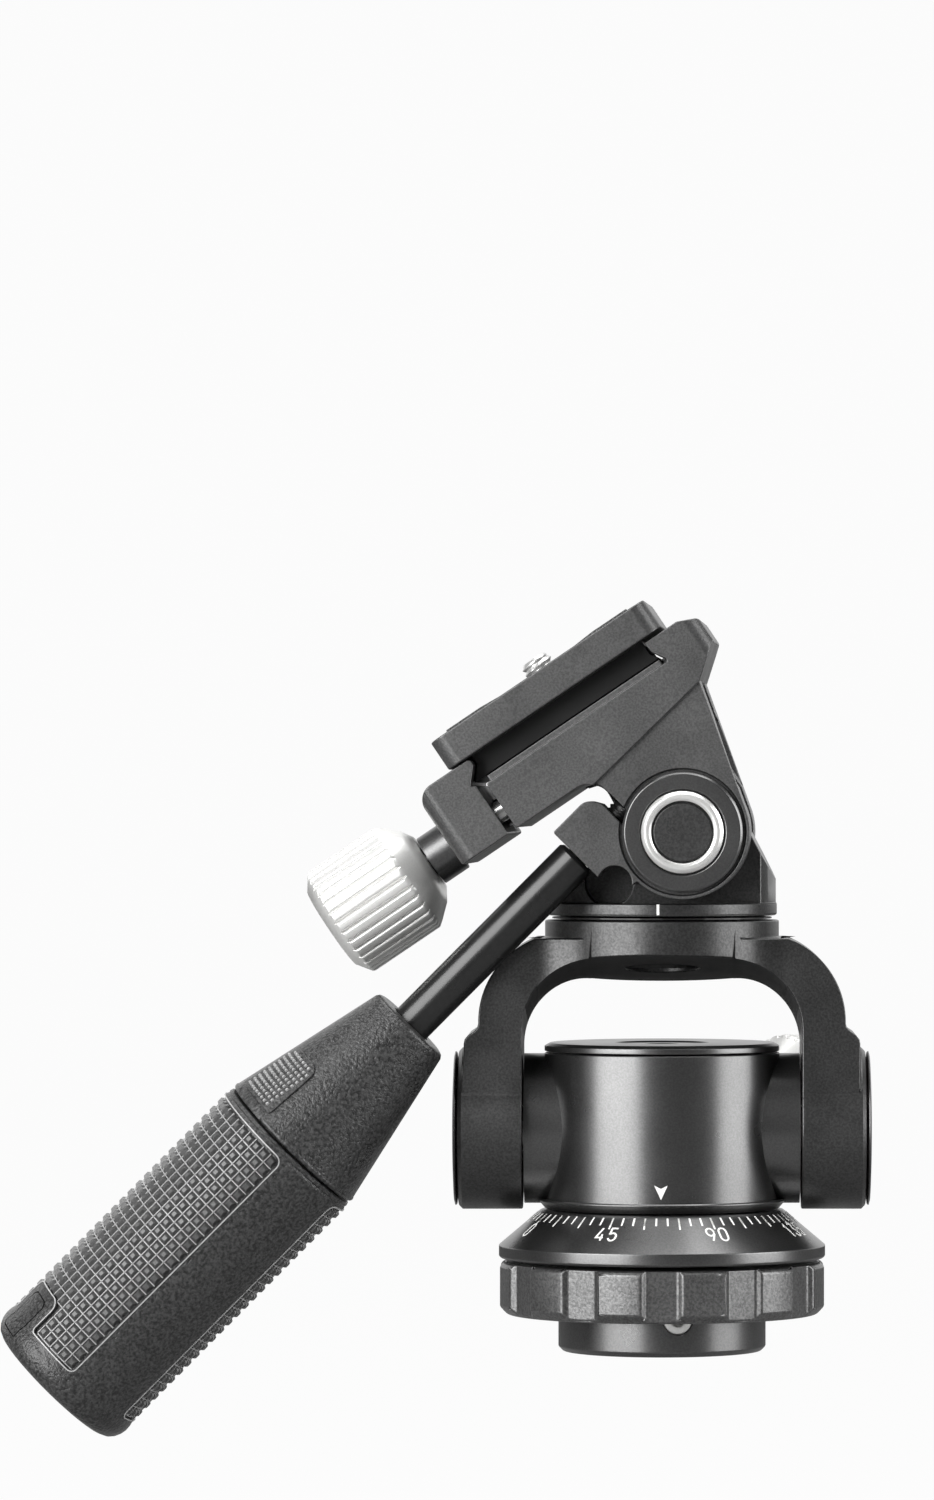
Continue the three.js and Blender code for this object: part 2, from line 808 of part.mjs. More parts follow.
// Side lock
const lockStem = lockSeatDepth + gap;
piece("side_lock_screw", turned([
  [0, sideLock.tip],
  [sideLock.tipRadius, sideLock.tip],
  [screwRadius, sideLock.tip + sideLock.tipLength],
  [screwRadius, lockStem],
  [sideLock.stemRadius, lockStem],
  [sideLock.stemRadius, lockKnobStart - gap],
  [screwRadius, lockKnobStart - gap],
  [screwRadius, lockKnobStart + sideLock.boreDepth],
  [0, lockKnobStart + sideLock.boreDepth],
], small), blackAnodised, sideLockFrame);
const sideLockKnob = {
  ...sideLock,
  radius: sideLock.knobRadius,
  coneLarge: sideLock.knobRadius - sideLock.fluteDepth,
};
piece("side_lock_knob", flutedKnob(sideLockKnob, lockKnobStart), silverAnodised, sideLockFrame);

// Fork: the arms' outline, drawn in from the sides by its waisted plan, with a sloping window
function forkProfile() {
  const shape = new THREE.Shape();
  const arcX = upperOuter - fork.shoulderRadius;
  const rise = Math.asin(fork.shoulderSineShare);
  shape.moveTo(armOuter, 0);
  shape.lineTo(armOuter, stepBottom);
  shape.lineTo(armOuter - fork.stepLip, stepBottom + fork.stepMiddle);
  shape.lineTo(upperOuter, stepTop);
  shape.absarc(arcX, shoulderBase, fork.shoulderRadius, 0, rise, false);
  shape.absarc(-arcX, shoulderBase, fork.shoulderRadius, Math.PI - rise, Math.PI, false);
  shape.lineTo(-upperOuter, stepTop);
  shape.lineTo(fork.stepLip - armOuter, stepBottom + fork.stepMiddle);
  shape.lineTo(-armOuter, stepBottom);
  shape.lineTo(-armOuter, 0);
  shape.closePath();
  return shape;
}

function forkPlan() {
  const shape = new THREE.Shape();
  const reach = forkBossOuter;
  const waistY = fork.halfDepth + fork.waistRadius;
  const waistX = Math.sqrt((discRadius + fork.waistRadius) ** 2 - waistY ** 2);
  const lean = Math.atan2(waistY, waistX);
  shape.moveTo(reach, -fork.halfDepth);
  shape.lineTo(reach, fork.halfDepth);
  shape.absarc(waistX, waistY, fork.waistRadius, -quarter, lean - Math.PI, true);
  shape.absarc(0, 0, discRadius, lean, Math.PI - lean, false);
  shape.absarc(-waistX, waistY, fork.waistRadius, -lean, -quarter, true);
  shape.lineTo(-reach, fork.halfDepth);
  shape.lineTo(-reach, -fork.halfDepth);
  shape.absarc(-waistX, -waistY, fork.waistRadius, quarter, lean, true);
  shape.absarc(0, 0, discRadius, lean - Math.PI, -lean, false);
  shape.absarc(waistX, -waistY, fork.waistRadius, Math.PI - lean, quarter, true);
  shape.closePath();
  return shape;
}

const forkSteps = 6;
const forkDepth = discRadius + overrun;
const arms = common(
  crossPlate(forkProfile(), -forkDepth, forkDepth, forkSteps),
  slab(forkPlan(), -overrun, armTop + overrun, forkSteps),
);
const bridge = cylinder(discRadius, armTop - overrun, discTop, fine);
const armBosses = [0, Math.PI].map((turn) => alongX(turned([
  [0, armInner],
  [fork.bossRadius, armInner],
  [fork.bossRadius, forkBossOuter - fork.bossChamfer],
  [fork.bossRadius - fork.bossChamfer, forkBossOuter],
  [0, forkBossOuter],
], round)).rotateZ(turn));
const archWindow = crossPlate(outline([
  [-armInner, -fork.bossRadius - overrun],
  [armInner, -fork.bossRadius - overrun],
  [armInner, windowHeight, fork.windowCorner],
  [-armInner, windowHeight, fork.windowCorner],
]), -2 * forkDepth, 2 * forkDepth, forkSteps).rotateX(windowSlope);
const forkAxleBore = alongX(cylinder(axle.radius + gap, -forkBossOuter - overrun, forkBossOuter + overrun, small));
const nutBores = [0, Math.PI].map((turn) =>
  alongX(cylinder(fork.nutBore, nutSeat, forkBossOuter + overrun)).rotateZ(turn));
const turntableBore = turntable.spindleRadius + gap;
const spindleHeadBore = cylinder(turntable.spindleHeadRadius + gap, 0, spindleBoreSeat, small);
const spindleShaftBore = cylinder(turntableBore, 0, discTop + overrun, small);
piece("fork_yoke", cut(join(cut(join(arms, bridge), archWindow), ...armBosses), forkAxleBore, ...nutBores,
  spindleHeadBore, spindleShaftBore), satinBlack, forkFrame);

piece("fork_axle", alongX(cylinder(axle.radius, -nutEnd, nutEnd, small)), steel, forkFrame);
for (const [side, turn] of [["left", Math.PI], ["right", 0]]) {
  const nut = hexNut(axle.radius + gap, axleNut.radius, nutSeat + gap, nutEnd);
  piece(`${side}_axle_nut`, alongX(nut).rotateZ(turn), steel, forkFrame);
  const coverStart = forkBossOuter + gap;
  const spigot = fork.nutBore - gap;
  const cover = turned([
    [0, nutEnd + gap],
    [spigot, nutEnd + gap],
    [spigot, coverStart],
    [endCap.radius, coverStart],
    ...endCap.domeShares.map((share) =>
      [endCap.radius * share, coverStart + endCap.rim + endCap.dome * (1 - share * share)]),
    [0, coverStart + endCap.rim + endCap.dome],
  ], round);
  piece(`${side}_end_cap`, alongX(cover).rotateZ(turn), blackAnodised, forkFrame);
}

// Turntable, post and tilt axle
piece("turntable_washer",
  tube(turntable.washerInner, turntable.washerOuter, forkTop + gap, forkTop + gap + turntable.washerThickness),
  slipPlastic);
const headSeat = swingHeight + spindleBoreSeat;
piece("turntable_spindle", turned([
  [0, headSeat - gap - turntable.spindleHeadHeight],
  [turntable.spindleHeadRadius, headSeat - gap - turntable.spindleHeadHeight],
  [turntable.spindleHeadRadius, headSeat - gap],
  [turntable.spindleRadius, headSeat - gap],
  [turntable.spindleRadius, turntableSpindleTop],
  [0, turntableSpindleTop],
], small), steel, turntableFrame);

function postOutline() {
  const shape = new THREE.Shape();
  const base = turntableTop - overrun;
  shape.moveTo(-postRadius, base);
  shape.lineTo(postRadius, base);
  shape.lineTo(postRadius, turntableTop + post.shoulder);
  shape.lineTo(tiltAxis.x + post.crownRadius, tiltAxis.z);
  shape.absarc(tiltAxis.x, tiltAxis.z, post.crownRadius, 0, Math.PI, false);
  shape.lineTo(-post.leftNeck, turntableTop + post.leftNeckHeight);
  shape.lineTo(-postRadius, turntableTop + post.leftShoulder);
  shape.closePath();
  return shape;
}

const turntableDisc = turned([
  [0, turntableBottom],
  [turntable.radius - turntable.edge, turntableBottom],
  [turntable.radius, turntableBottom + turntable.edge],
  [turntable.radius, turntableTop],
  [0, turntableTop],
], fine);
const postBlock = common(
  crossPlate(postOutline(), -post.halfDepth, post.halfDepth, forkSteps),
  cylinder(postRadius, turntableBottom, tiltAxis.z + post.crownRadius + overrun, fine),
);
const onTiltAxis = (geometry) => alongY(geometry).translate(tiltAxis.x, 0, tiltAxis.z);
const trunnion = onTiltAxis(cylinder(post.trunnionRadius, -trunnionEnd, trunnionEnd, round));
const tiltBore = onTiltAxis(cylinder(tiltAxleRadius + gap, -trunnionEnd - overrun,
  trunnionEnd + overrun, small));
const relief = alongY(cylinder(post.reliefRadius, -post.halfDepth - overrun, post.reliefDepth - post.halfDepth, small))
  .translate(post.reliefX, 0, turntableTop + post.reliefHeight);
const postSpindleBore = cylinder(turntableBore, turntableBottom - overrun, turntableSpindleTop + gap, small);
piece("tilt_post", cut(join(turntableDisc, postBlock, trunnion), tiltBore, relief, postSpindleBore),
  satinBlack, turntableFrame);
piece("tilt_axle", onTiltAxis(cylinder(tiltAxleRadius, -trunnionEnd, trunnionEnd, small)),
  steel, turntableFrame);

// Hub covers: the front one carries a bright ring round a plain disc
const frontward = (geometry) => geometry.rotateX(quarter).translate(tiltAxis.x, 0, tiltAxis.z);
piece("hub_cap", frontward(turned([
  [0, capSeat],
  [hub.capRadius, capSeat],
  [hub.capRadius, hubFront - hub.capEdge],
  [hub.capRadius - hub.capEdge, hubFront],
  [hub.ringOuter + gap, hubFront],
  [hub.ringOuter + gap, hubFloor],
  [0, hubFloor],
], round)), blackAnodised, turntableFrame);
piece("hub_ring", frontward(turned([
  [hub.ringInner, hubFloor + gap],
  [hub.ringOuter, hubFloor + gap],
  [hub.ringOuter, hubFront],
  [hub.ringOuter - hub.ringBevel, hubFront + hub.ringProud],
  [hub.ringInner, hubFront + hub.ringProud],
], round)), silverAnodised, turntableFrame);
piece("hub_disc", frontward(cylinder(hub.ringInner - hub.discGap, hubFloor + gap, hubFront + hub.discProud, round)),
  blackAnodised, turntableFrame);
piece("rear_hub_cap", onTiltAxis(turned([
  [0, capSeat],
  [hub.capRadius, capSeat],
  [hub.capRadius, hubFront - hub.capEdge],
  [hub.capRadius - hub.capEdge, hubFront],
  [hub.socketRadius, hubFront],
  [hub.socketRadius, hubFloor],
  [0, hubFloor],
], round)), blackAnodised, turntableFrame);

// Platform bracket: the dovetail body, two cheeks, and the split clamp's lug
const bodyOutline = outline([
  [platform.left, platformBottom, platform.edge],
  [platform.filletCorner, platformBottom],
  [platform.filletCorner - platform.foldInset, platformBottom - platform.foldDrop],
  [wedgeTop, wedgeTopHeight],
  [platformRight, platformFloor - platform.rightDrop, platform.edge],
  [platformRight, lipTop - platform.rightTopDrop, platform.edge],
  [topEnd, lipTop, platform.edge],
  [platform.lipTip, lipTop],
  [platform.lipTip, lipTipHeight],
  [lipApex, lipApexHeight],
  [lipApex, platformFloor],
  [platform.left, platformFloor, platform.edge],
]);
const bodyPlan = outline([
  [platform.left - overrun, -platformHalfDepth],
  [platformRight, -platformHalfDepth, platform.cornerRadius],
  [platformRight, platformHalfDepth, platform.cornerRadius],
  [platform.left - overrun, platformHalfDepth],
]);
const bracketBody = common(
  crossPlate(bodyOutline, -platformHalfDepth, platformHalfDepth),
  slab(bodyPlan, 0, lipTop + overrun),
);

// The point where a line from the wedge's top corner touches the hub's circle
const wedgeReach = Math.hypot(wedgeTop, wedgeTopHeight);
const wedgeAngle = Math.atan2(wedgeTopHeight, wedgeTop) - Math.acos(hubRadius / wedgeReach);
const wedgeFoot = [hubRadius * Math.cos(wedgeAngle), hubRadius * Math.sin(wedgeAngle)];
const slotWallTop = onClamp(clamp.slotNear, clamp.lugInnerTop);
const slotWallBottom = onClamp(clamp.slotNear, clamp.slotBottom);
const insideBody = platformBottom + platform.filletRadius;
function cheekOutline(leftTop, leftBottom) {
  return outline([
    [platform.filletCorner - 2 * platform.filletRadius, insideBody],
    [platform.filletCorner - 2 * platform.filletRadius, platformBottom],
    [platform.filletCorner, platformBottom, platform.filletRadius],
    leftTop,
    leftBottom,
    [0, 0],
    wedgeFoot,
    [wedgeTop, wedgeTopHeight],
    [wedgeTop - platform.filletRadius, wedgeTopHeight + platform.edge],
  ]);
}
const hubCylinder = (radius, from, to, sides = round) => alongY(cylinder(radius, from, to, sides));
const lugOutline = outline([
  onClamp(slotFar, clamp.slotBottom),
  onClamp(slotFar, clamp.lugInnerTop),
  [...onClamp(slotFar + clamp.lugShoulder, clamp.lugTop), clamp.lugShoulderRadius],
  [...onClamp(lugEnd, clamp.lugTop), platform.edge],
  onClamp(lugEnd, clamp.lugBottom),
  onClamp(slotFar + clamp.lugRoot, clamp.lugRootBottom),
]);
const frontCheek = join(
  crossPlate(cheekOutline(slotWallTop, slotWallBottom), -cheekOuter, -cheekInner),
  crossPlate(lugOutline, -cheekOuter, -cheekInner),
  hubCylinder(hubRadius, -cheekOuter, -cheekInner),
);
const rearLeft = [-hubRadius * Math.cos(wedgeAngle), 0];
const rearCheek = join(
  crossPlate(cheekOutline([platform.filletCorner - platform.edge, hubRadius], rearLeft),
    cheekInner, cheekOuter),
  hubCylinder(hubRadius, cheekInner, cheekOuter),
);
const slotTool = crossPlate(outline([
  onClamp(clamp.slotNear, clamp.slotTop),
  onClamp(slotFar, clamp.slotTop),
  onClamp(slotFar, clamp.slotBottom - hubRadius / 2),
  onClamp(clamp.slotNear, clamp.slotBottom - hubRadius / 2),
]), -cheekOuter - overrun, -cheekInner + overrun);
const biteTool = hubCylinder(clamp.biteRadius, -cheekOuter - overrun, -cheekInner + overrun, small);
const bite = onClamp(lugEnd - clamp.biteInset, clamp.biteV);
biteTool.translate(bite[0], 0, bite[1]);
const bearingBore = hubCylinder(post.trunnionRadius + gap, -platformHalfDepth - overrun,
  platformHalfDepth + overrun);
const hubRecesses = [
  hubCylinder(hub.capRadius + 2 * gap, -cheekOuter - overrun, -trunnionEnd),
  hubCylinder(hub.capRadius + 2 * gap, trunnionEnd, cheekOuter + overrun),
];
// Room for the turntable's edge where the cheeks come over it at the end of the tilt
const diskRoom = cylinder(turntable.radius + gap, forkTop + gap, turntableTop + gap, fine)
  .translate(-tiltAxis.x, 0, -tiltAxis.z)
  .rotateY(-platformTilt - tiltTravel);
const threadBore = cylinder(rod.threadRadius + gap, clamp.threadBoreEnd, lugEnd + overrun, small)
  .rotateY(handleDrop - quarter)
  .translate(handleP, clamp.y, handleQ);
const jawScrewBore = alongX(cylinder(screwRadius + gap, platform.left - overrun, screwBoreEnd, small))
  .translate(0, 0, screwHeight);
const pinSides = [-1, 1];
const pinBores = (from, to, clearance) => pinSides.map((side) =>
  alongX(cylinder(jaw.pinRadius + clearance, from, to, small)).translate(0, side * jaw.pinY, screwHeight));
const pinEnd = platform.left + jaw.pinDepth;
const pinStart = jawRight - jaw.pinDepth;
piece("platform_bracket", cut(join(bracketBody, frontCheek, rearCheek), slotTool, biteTool, bearingBore, diskRoom,
  ...hubRecesses, threadBore, jawScrewBore, ...pinBores(platform.left - overrun, pinEnd, gap)),
satinBlack, platformFrame);

["front_guide_pin", "rear_guide_pin"].forEach((name, i) => {
  const pin = alongX(cylinder(jaw.pinRadius, pinStart + gap, pinEnd - gap, small));
  piece(name, pin.translate(0, pinSides[i] * jaw.pinY, screwHeight), steel, platformFrame);
});

// Moving jaw
const jawOutline = outline([
  [jawLeft, platformBottom, platform.edge],
  [jawRight, platformBottom, platform.edge],
  [jawRight, jawThroat],
  [jawApex, jawApexHeight],
  [jawHook, hookTip],
  [jawHook, hookTop],
  [jawHook - platform.edge, jawTop],
  [jawLeft, jawTop, jaw.topRadius],
]);
const jawPlan = outline([
  [jawLeft, -platformHalfDepth, platform.cornerRadius],
  [jawHook + overrun, -platformHalfDepth],
  [jawHook + overrun, platformHalfDepth],
  [jawLeft, platformHalfDepth, platform.cornerRadius],
]);
const jawBlock = common(
  crossPlate(jawOutline, -platformHalfDepth, platformHalfDepth),
  slab(jawPlan, 0, jawTop + overrun),
);
const jawScrewHole = alongX(cylinder(screwRadius + gap, jawLeft - overrun, jawHook, small))
  .translate(0, 0, screwHeight);
piece("clamp_jaw", cut(jawBlock, jawScrewHole, ...pinBores(pinStart, jawHook, gap)), satinBlack, platformFrame);

// Clamp screw with its stem, and the knob
const knobStart = knob.stemLength + 2 * gap;
const screwEnd = jawLeft - screwBoreEnd;
piece("clamp_screw", turned([
  [0, screwEnd + gap],
  [screwRadius, screwEnd + gap],
  [screwRadius, gap],
  [knob.stemRadius, gap],
  [knob.stemRadius, knobStart - gap],
  [screwRadius, knobStart - gap],
  [screwRadius, knobStart + knob.boreDepth],
  [0, knobStart + knob.boreDepth],
], small), blackAnodised, knobFrame);
piece("clamp_knob", flutedKnob(knob, knobStart), silverAnodised, knobFrame);

// Quick release plate with its dovetail
const flange = slab(rectangle(plateLeft, -plate.halfDepth, plateRight, plate.halfDepth, plate.cornerRadius),
  plateBottom, plateTop);
const neckLeft = jawHook + plate.neckInset;
const neckRight = platform.lipTip - plate.neckInset;
const hookSlope = (jawHook - jawApex) / (hookTip - jawApexHeight);
const lipSlope = (lipApex - platform.lipTip) / (lipTipHeight - lipApexHeight);
const tailOutline = outline([
  [neckLeft, plateBottom + overrun],
  [neckLeft, hookTip],
  [neckLeft - (hookTip - tailHeight) * hookSlope, tailHeight],
  [neckRight + (lipTipHeight - tailHeight) * lipSlope, tailHeight],
  [neckRight, lipTipHeight],
  [neckRight, plateBottom + overrun],
]);
const tail = crossPlate(tailOutline, -plate.dovetailHalfDepth, plate.dovetailHalfDepth);
const plateCentre = (plateLeft + plateRight) / 2;
const screwHole = cylinder(cameraScrew.radius + gap, platformFloor, plateTop + overrun, small);
const padFloor = plateTop - pad.sink - gap;
const padSides = [-1, 1];
const padPockets = padSides.map((side) => {
  const reach = [pad.inner - gap, pad.outer + gap].map((x) => plateCentre + side * x).sort((a, b) => a - b);
  const shape = rectangle(reach[0], -padHalfDepth - gap, reach[1], padHalfDepth + gap);
  return slab(shape, padFloor, plateTop + overrun);
});
const screwHeadHole = cylinder(cameraScrew.headRadius + gap, platformFloor, screwHeadTop + gap);
piece("quick_plate", cut(join(flange, tail), screwHole.translate(plateCentre, 0, 0),
  screwHeadHole.translate(plateCentre, 0, 0), ...padPockets), satinBlack, platformFrame);

piece("camera_screw", turned([
  [0, screwHeadBottom],
  [cameraScrew.headRadius, screwHeadBottom],
  [cameraScrew.headRadius, screwHeadTop],
  [cameraScrew.radius, screwHeadTop],
  [cameraScrew.radius, screwTop - cameraScrew.tipChamfer],
  [cameraScrew.radius - cameraScrew.tipChamfer, screwTop],
  [0, screwTop],
], small).translate(plateCentre, 0, 0), steel, platformFrame);

// Two rubber pads, thinner towards the camera screw
const padFoot = plateTop - pad.sink;
const padOutline = outline([
  [pad.inner, padFoot],
  [pad.outer, padFoot],
  [pad.outer, plateTop + pad.outerHeight],
  [pad.middle, plateTop + pad.middleHeight],
  [pad.inner, plateTop + pad.innerHeight],
]);
["left_pad", "right_pad"].forEach((name, i) => {
  const solid = crossPlate(padOutline, -padHalfDepth, padHalfDepth)
    .rotateZ(padSides[i] < 0 ? Math.PI : 0);
  piece(name, solid.translate(plateCentre, 0, 0), rubber, platformFrame);
});

// Handle rod: its thread crosses the clamp's slot, and its shoulder bears on the lug
const shoulder = lugEnd + gap;
piece("handle_rod", turned([
  [0, clamp.threadBoreEnd + 2 * gap],
  [rod.threadRadius, clamp.threadBoreEnd + 2 * gap],
  [rod.threadRadius, shoulder],
  [rod.radius - rod.chamfer, shoulder],
  [rod.radius, shoulder + rod.chamfer],
  [rod.radius, rodEnd - rod.stopLength],
  [rod.stopRadius, rodEnd - rod.stopLength],
  [rod.stopRadius, rodEnd],
  [0, rodEnd],
], small), blackPaint, handleFrame);

// Grip: a moulded core with the cone, and the rubber sleeve that closes its end
const coneSlope = (grip.radius - grip.tipRadius) / (coneEnd - grip.start);
const coneRadiusAt = (s) => grip.tipRadius + (s - grip.start) * coneSlope;
const coreProfile = turned([
  [rod.radius + gap, grip.start],
  [grip.tipRadius - grip.tipRounding, grip.start],
  [grip.tipRadius + grip.tipRounding * coneSlope, grip.start + grip.tipRounding],
  [grip.radius, coneEnd],
  [neckRadius, coneEnd],
  [neckRadius, neckEnd],
  [grip.boreRadius, neckEnd],
  [grip.boreRadius, grip.start + grip.guideLength],
  [rod.radius + gap, grip.start + grip.guideLength],
], plain);
function buttonBox(clearance, innerRadius, outerRadius) {
  const shape = rectangle(-button.halfWidth - clearance, -outerRadius, button.halfWidth + clearance, -innerRadius);
  return slab(shape, buttonStart - clearance, buttonEnd + clearance).rotateZ(buttonHeading);
}
const buttonFloor = coneRadiusAt(buttonStart) - button.thickness;
const pocketFloor = buttonFloor - button.travel - gap;
const buttonReach = grip.radius + overrun;
piece("grip_core", cut(coreProfile, buttonBox(gap, pocketFloor, buttonReach)), mouldedBlack, handleFrame);
const buttonSkin = turned([
  [0, buttonStart - overrun],
  [coneRadiusAt(buttonStart - overrun) + button.proud, buttonStart - overrun],
  [coneRadiusAt(buttonEnd + overrun) + button.proud, buttonEnd + overrun],
  [0, buttonEnd + overrun],
], plain);
piece("extension_button", common(buttonSkin, buttonBox(0, buttonFloor, buttonReach)), mouldedBlack, handleFrame);

const sleeveBore = neckRadius + gap;
const domeRadius = grip.radius - grip.sleeveRounding;
const sleeveBody = turned([
  [sleeveBore, sleeveStart],
  [grip.radius, sleeveStart],
  [grip.radius, sleeveEnd - grip.sleeveRounding],
  [grip.radius - grip.sleeveRounding * (1 - Math.SQRT1_2),
    sleeveEnd - grip.sleeveRounding * (1 - Math.SQRT1_2)],
  ...grip.domeShares.map((share) =>
    [domeRadius * share, sleeveEnd + grip.domeRise * (1 - share * share)]),
  [0, sleeveEnd + grip.domeRise],
  [0, sleeveEnd + grip.domeRise - grip.endWall],
  [sleeveBore, sleeveFloor],
], plain);

piece("grip_sleeve", sleeveBody, rubber, handleFrame);

export default head;
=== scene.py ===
"""Looks of a three way pan and tilt head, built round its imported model."""
import math

import bmesh
import bpy
from bpy.props import FloatProperty, FloatVectorProperty, IntProperty, PointerProperty
from mathutils import Matrix, Vector


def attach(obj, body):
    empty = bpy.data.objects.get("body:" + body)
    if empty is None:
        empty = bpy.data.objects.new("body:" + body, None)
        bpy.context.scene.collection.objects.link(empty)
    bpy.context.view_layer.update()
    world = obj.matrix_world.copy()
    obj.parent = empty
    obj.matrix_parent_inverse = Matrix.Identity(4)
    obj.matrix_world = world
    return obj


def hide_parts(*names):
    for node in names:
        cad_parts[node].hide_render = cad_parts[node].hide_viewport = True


bl_info = {
    "name": "Three way pan and tilt head",
    "version": (1, 0, 0),
    "blender": (4, 5, 0),
    "location": "View3D > Sidebar > Pan head",
    "description": "Builds the visible pieces of a three way pan and tilt head",
    "category": "Object",
}

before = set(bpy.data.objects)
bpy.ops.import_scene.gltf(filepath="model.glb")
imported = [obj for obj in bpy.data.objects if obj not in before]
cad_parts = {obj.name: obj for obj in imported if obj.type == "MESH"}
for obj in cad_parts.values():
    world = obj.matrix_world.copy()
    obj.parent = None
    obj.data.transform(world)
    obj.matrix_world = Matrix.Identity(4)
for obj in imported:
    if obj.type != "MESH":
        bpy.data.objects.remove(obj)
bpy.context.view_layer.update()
MM = 0.001

# Sizes that the platform's pieces share, in its own frame, in millimetres
JAW_END = -38.7
SCREW_HEIGHT = 23.1
PIN_OFFSET = 16
UNDERSIDE = 18.4
HALF_DEPTH = 25
HUB_RADIUS = 12.9
HEEL = (18.9, 22.2)
HOOK_FOOT = (-28.8, 30)
HOOK_TIP = (-26.1, 33.1)
LIP_FOOT = (15.9, 29.5)
LIP_TIP = (14.3, 32)

# Frames of the moving bodies at rest, in millimetres
SWING_HEIGHT = 43.3
YAW = Matrix.Rotation(math.radians(-2), 4, "Z")
TILT_X = 4.8
TILT_HEIGHT = 101.1
TILT_AXIS = Vector((TILT_X, 0, TILT_HEIGHT))
PLATFORM = YAW @ Matrix.Translation(TILT_AXIS) @ Matrix.Rotation(math.radians(-34), 4, "Y")
CLAMP_TURN = math.radians(-11.15 - 90)
ROD_RISE = 11.08
ALONG = Vector((math.sin(CLAMP_TURN), 0, math.cos(CLAMP_TURN)))
ACROSS = Vector((ALONG.z, 0, -ALONG.x))
ROD_FOOT = ALONG * 0.1 + ACROSS * ROD_RISE + Vector((0, -19, 0))
HANDLE = PLATFORM @ Matrix.Translation(ROD_FOOT) @ Matrix.Rotation(CLAMP_TURN, 4, "Y")
KNOB = PLATFORM @ Matrix.Translation((JAW_END, 0, SCREW_HEIGHT)) @ Matrix.Rotation(math.radians(-90), 4, "Y")
SIDE_LOCK_HEADING = math.radians(41)
SIDE_LOCK = (
    Matrix.Translation((0, 0, 50.5))
    @ Matrix.Rotation(-SIDE_LOCK_HEADING, 4, "Z")
    @ Matrix.Rotation(math.radians(-90), 4, "X")
)
SWING = Matrix.Translation((0, 0, SWING_HEIGHT))
TILT = YAW @ Matrix.Translation(TILT_AXIS)
BASE = Matrix.Identity(4)

ALONG_X = Matrix.Rotation(math.radians(90), 4, "Y")
ALONG_Y = Matrix.Rotation(math.radians(-90), 4, "X")
TOWARDS_FRONT = Matrix.Rotation(math.radians(90), 4, "X")


def half_turn(side):
    return Matrix.Rotation(math.pi if side < 0 else 0, 4, "Z")


def screw_line(y=0):
    """A line along X at the clamp screw's height, so far behind the screw."""
    return Matrix.Translation((0, y, SCREW_HEIGHT)) @ ALONG_X


# Sizes and colours that a user may change
def length(name, description, default):
    return FloatProperty(name=name, description=description, default=default, min=0, unit="LENGTH")


def whole_number(name, description, default, least):
    return IntProperty(name=name, description=description, default=default, min=least)


def colour(name, description, sheet_value):
    return FloatVectorProperty(
        name=name, description=description, default=linear(sheet_value), subtype="COLOR", size=3, min=0, max=1
    )


def linear(sheet_value):
    """An sRGB hex colour as the linear numbers that shaders take."""
    channels = [int(sheet_value[i : i + 2], 16) / 255 for i in (1, 3, 5)]
    return [c / 12.92 if c <= 0.04045 else ((c + 0.055) / 1.055) ** 2.4 for c in channels]


class BaseSizes(bpy.types.PropertyGroup):
    tick_length: length("Short mark", "Length of a five degree mark on the scale", 0.0021)
    long_tick_length: length("Long mark", "Length of a fifteen degree mark on the scale", 0.0031)
    tick_width: length("Mark width", "Width of the scale's marks", 0.00034)
    figure_height: length("Figure height", "Height of the scale's figures", 0.0038)
    ring_scallops: whole_number("Scallops", "Finger scallops of the lock ring", 12, 4)


class KnobSizes(bpy.types.PropertyGroup):
    flutes: whole_number("Flutes", "Flutes round the clamp knob", 32, 8)
    flute_depth: length("Flute depth", "Depth of the clamp knob's flutes", 0.0008)


class GripSizes(bpy.types.PropertyGroup):
    stud_along: length("Pitch along the grip", "Distance between studs along the grip", 0.00225)
    stud_height: length("Stud height", "Height of one stud", 0.00082)
    stud_rows: whole_number("Rows", "Rows of studs along the grip", 25, 4)
    stud_columns: whole_number("Columns", "Columns of studs in one panel", 16, 8)


class HeadColours(bpy.types.PropertyGroup):
    black: colour("Black anodised", "Turned black aluminium", "#686868")
    satin: colour("Satin black", "Machined and blasted black aluminium", "#494949")
    silver: colour("Silver anodised", "Bright aluminium of the knobs", "#e9e9e7")
    rod: colour("Rod paint", "Gloss black paint of the handle's rod", "#171717")
    plastic: colour("Moulded black", "Glass filled nylon of the grip's cone", "#2d2d2d")
    rubber: colour("Rubber", "Rubber of the grip and pads", "#2c2c2c")
    marks: colour("Marks", "Filled marks and figures", "#f4f4f2")


# Meshes, all made in millimetres in the frame of what they belong to
SIDES = 128


def circle(sides):
    return [(math.cos(a), math.sin(a)) for a in (2 * math.pi * i / sides for i in range(sides))]


def walled(bm, *loops):
    """Faces from each loop of points to the next, which has as many points."""
    for first, second in zip(loops, loops[1:]):
        count = len(first)
        for i in range(count):
            j = (i + 1) % count
            bm.faces.new((first[i], first[j], second[j], second[i]))


def outwards(bm):
    bmesh.ops.recalc_face_normals(bm, faces=bm.faces)
    return bm


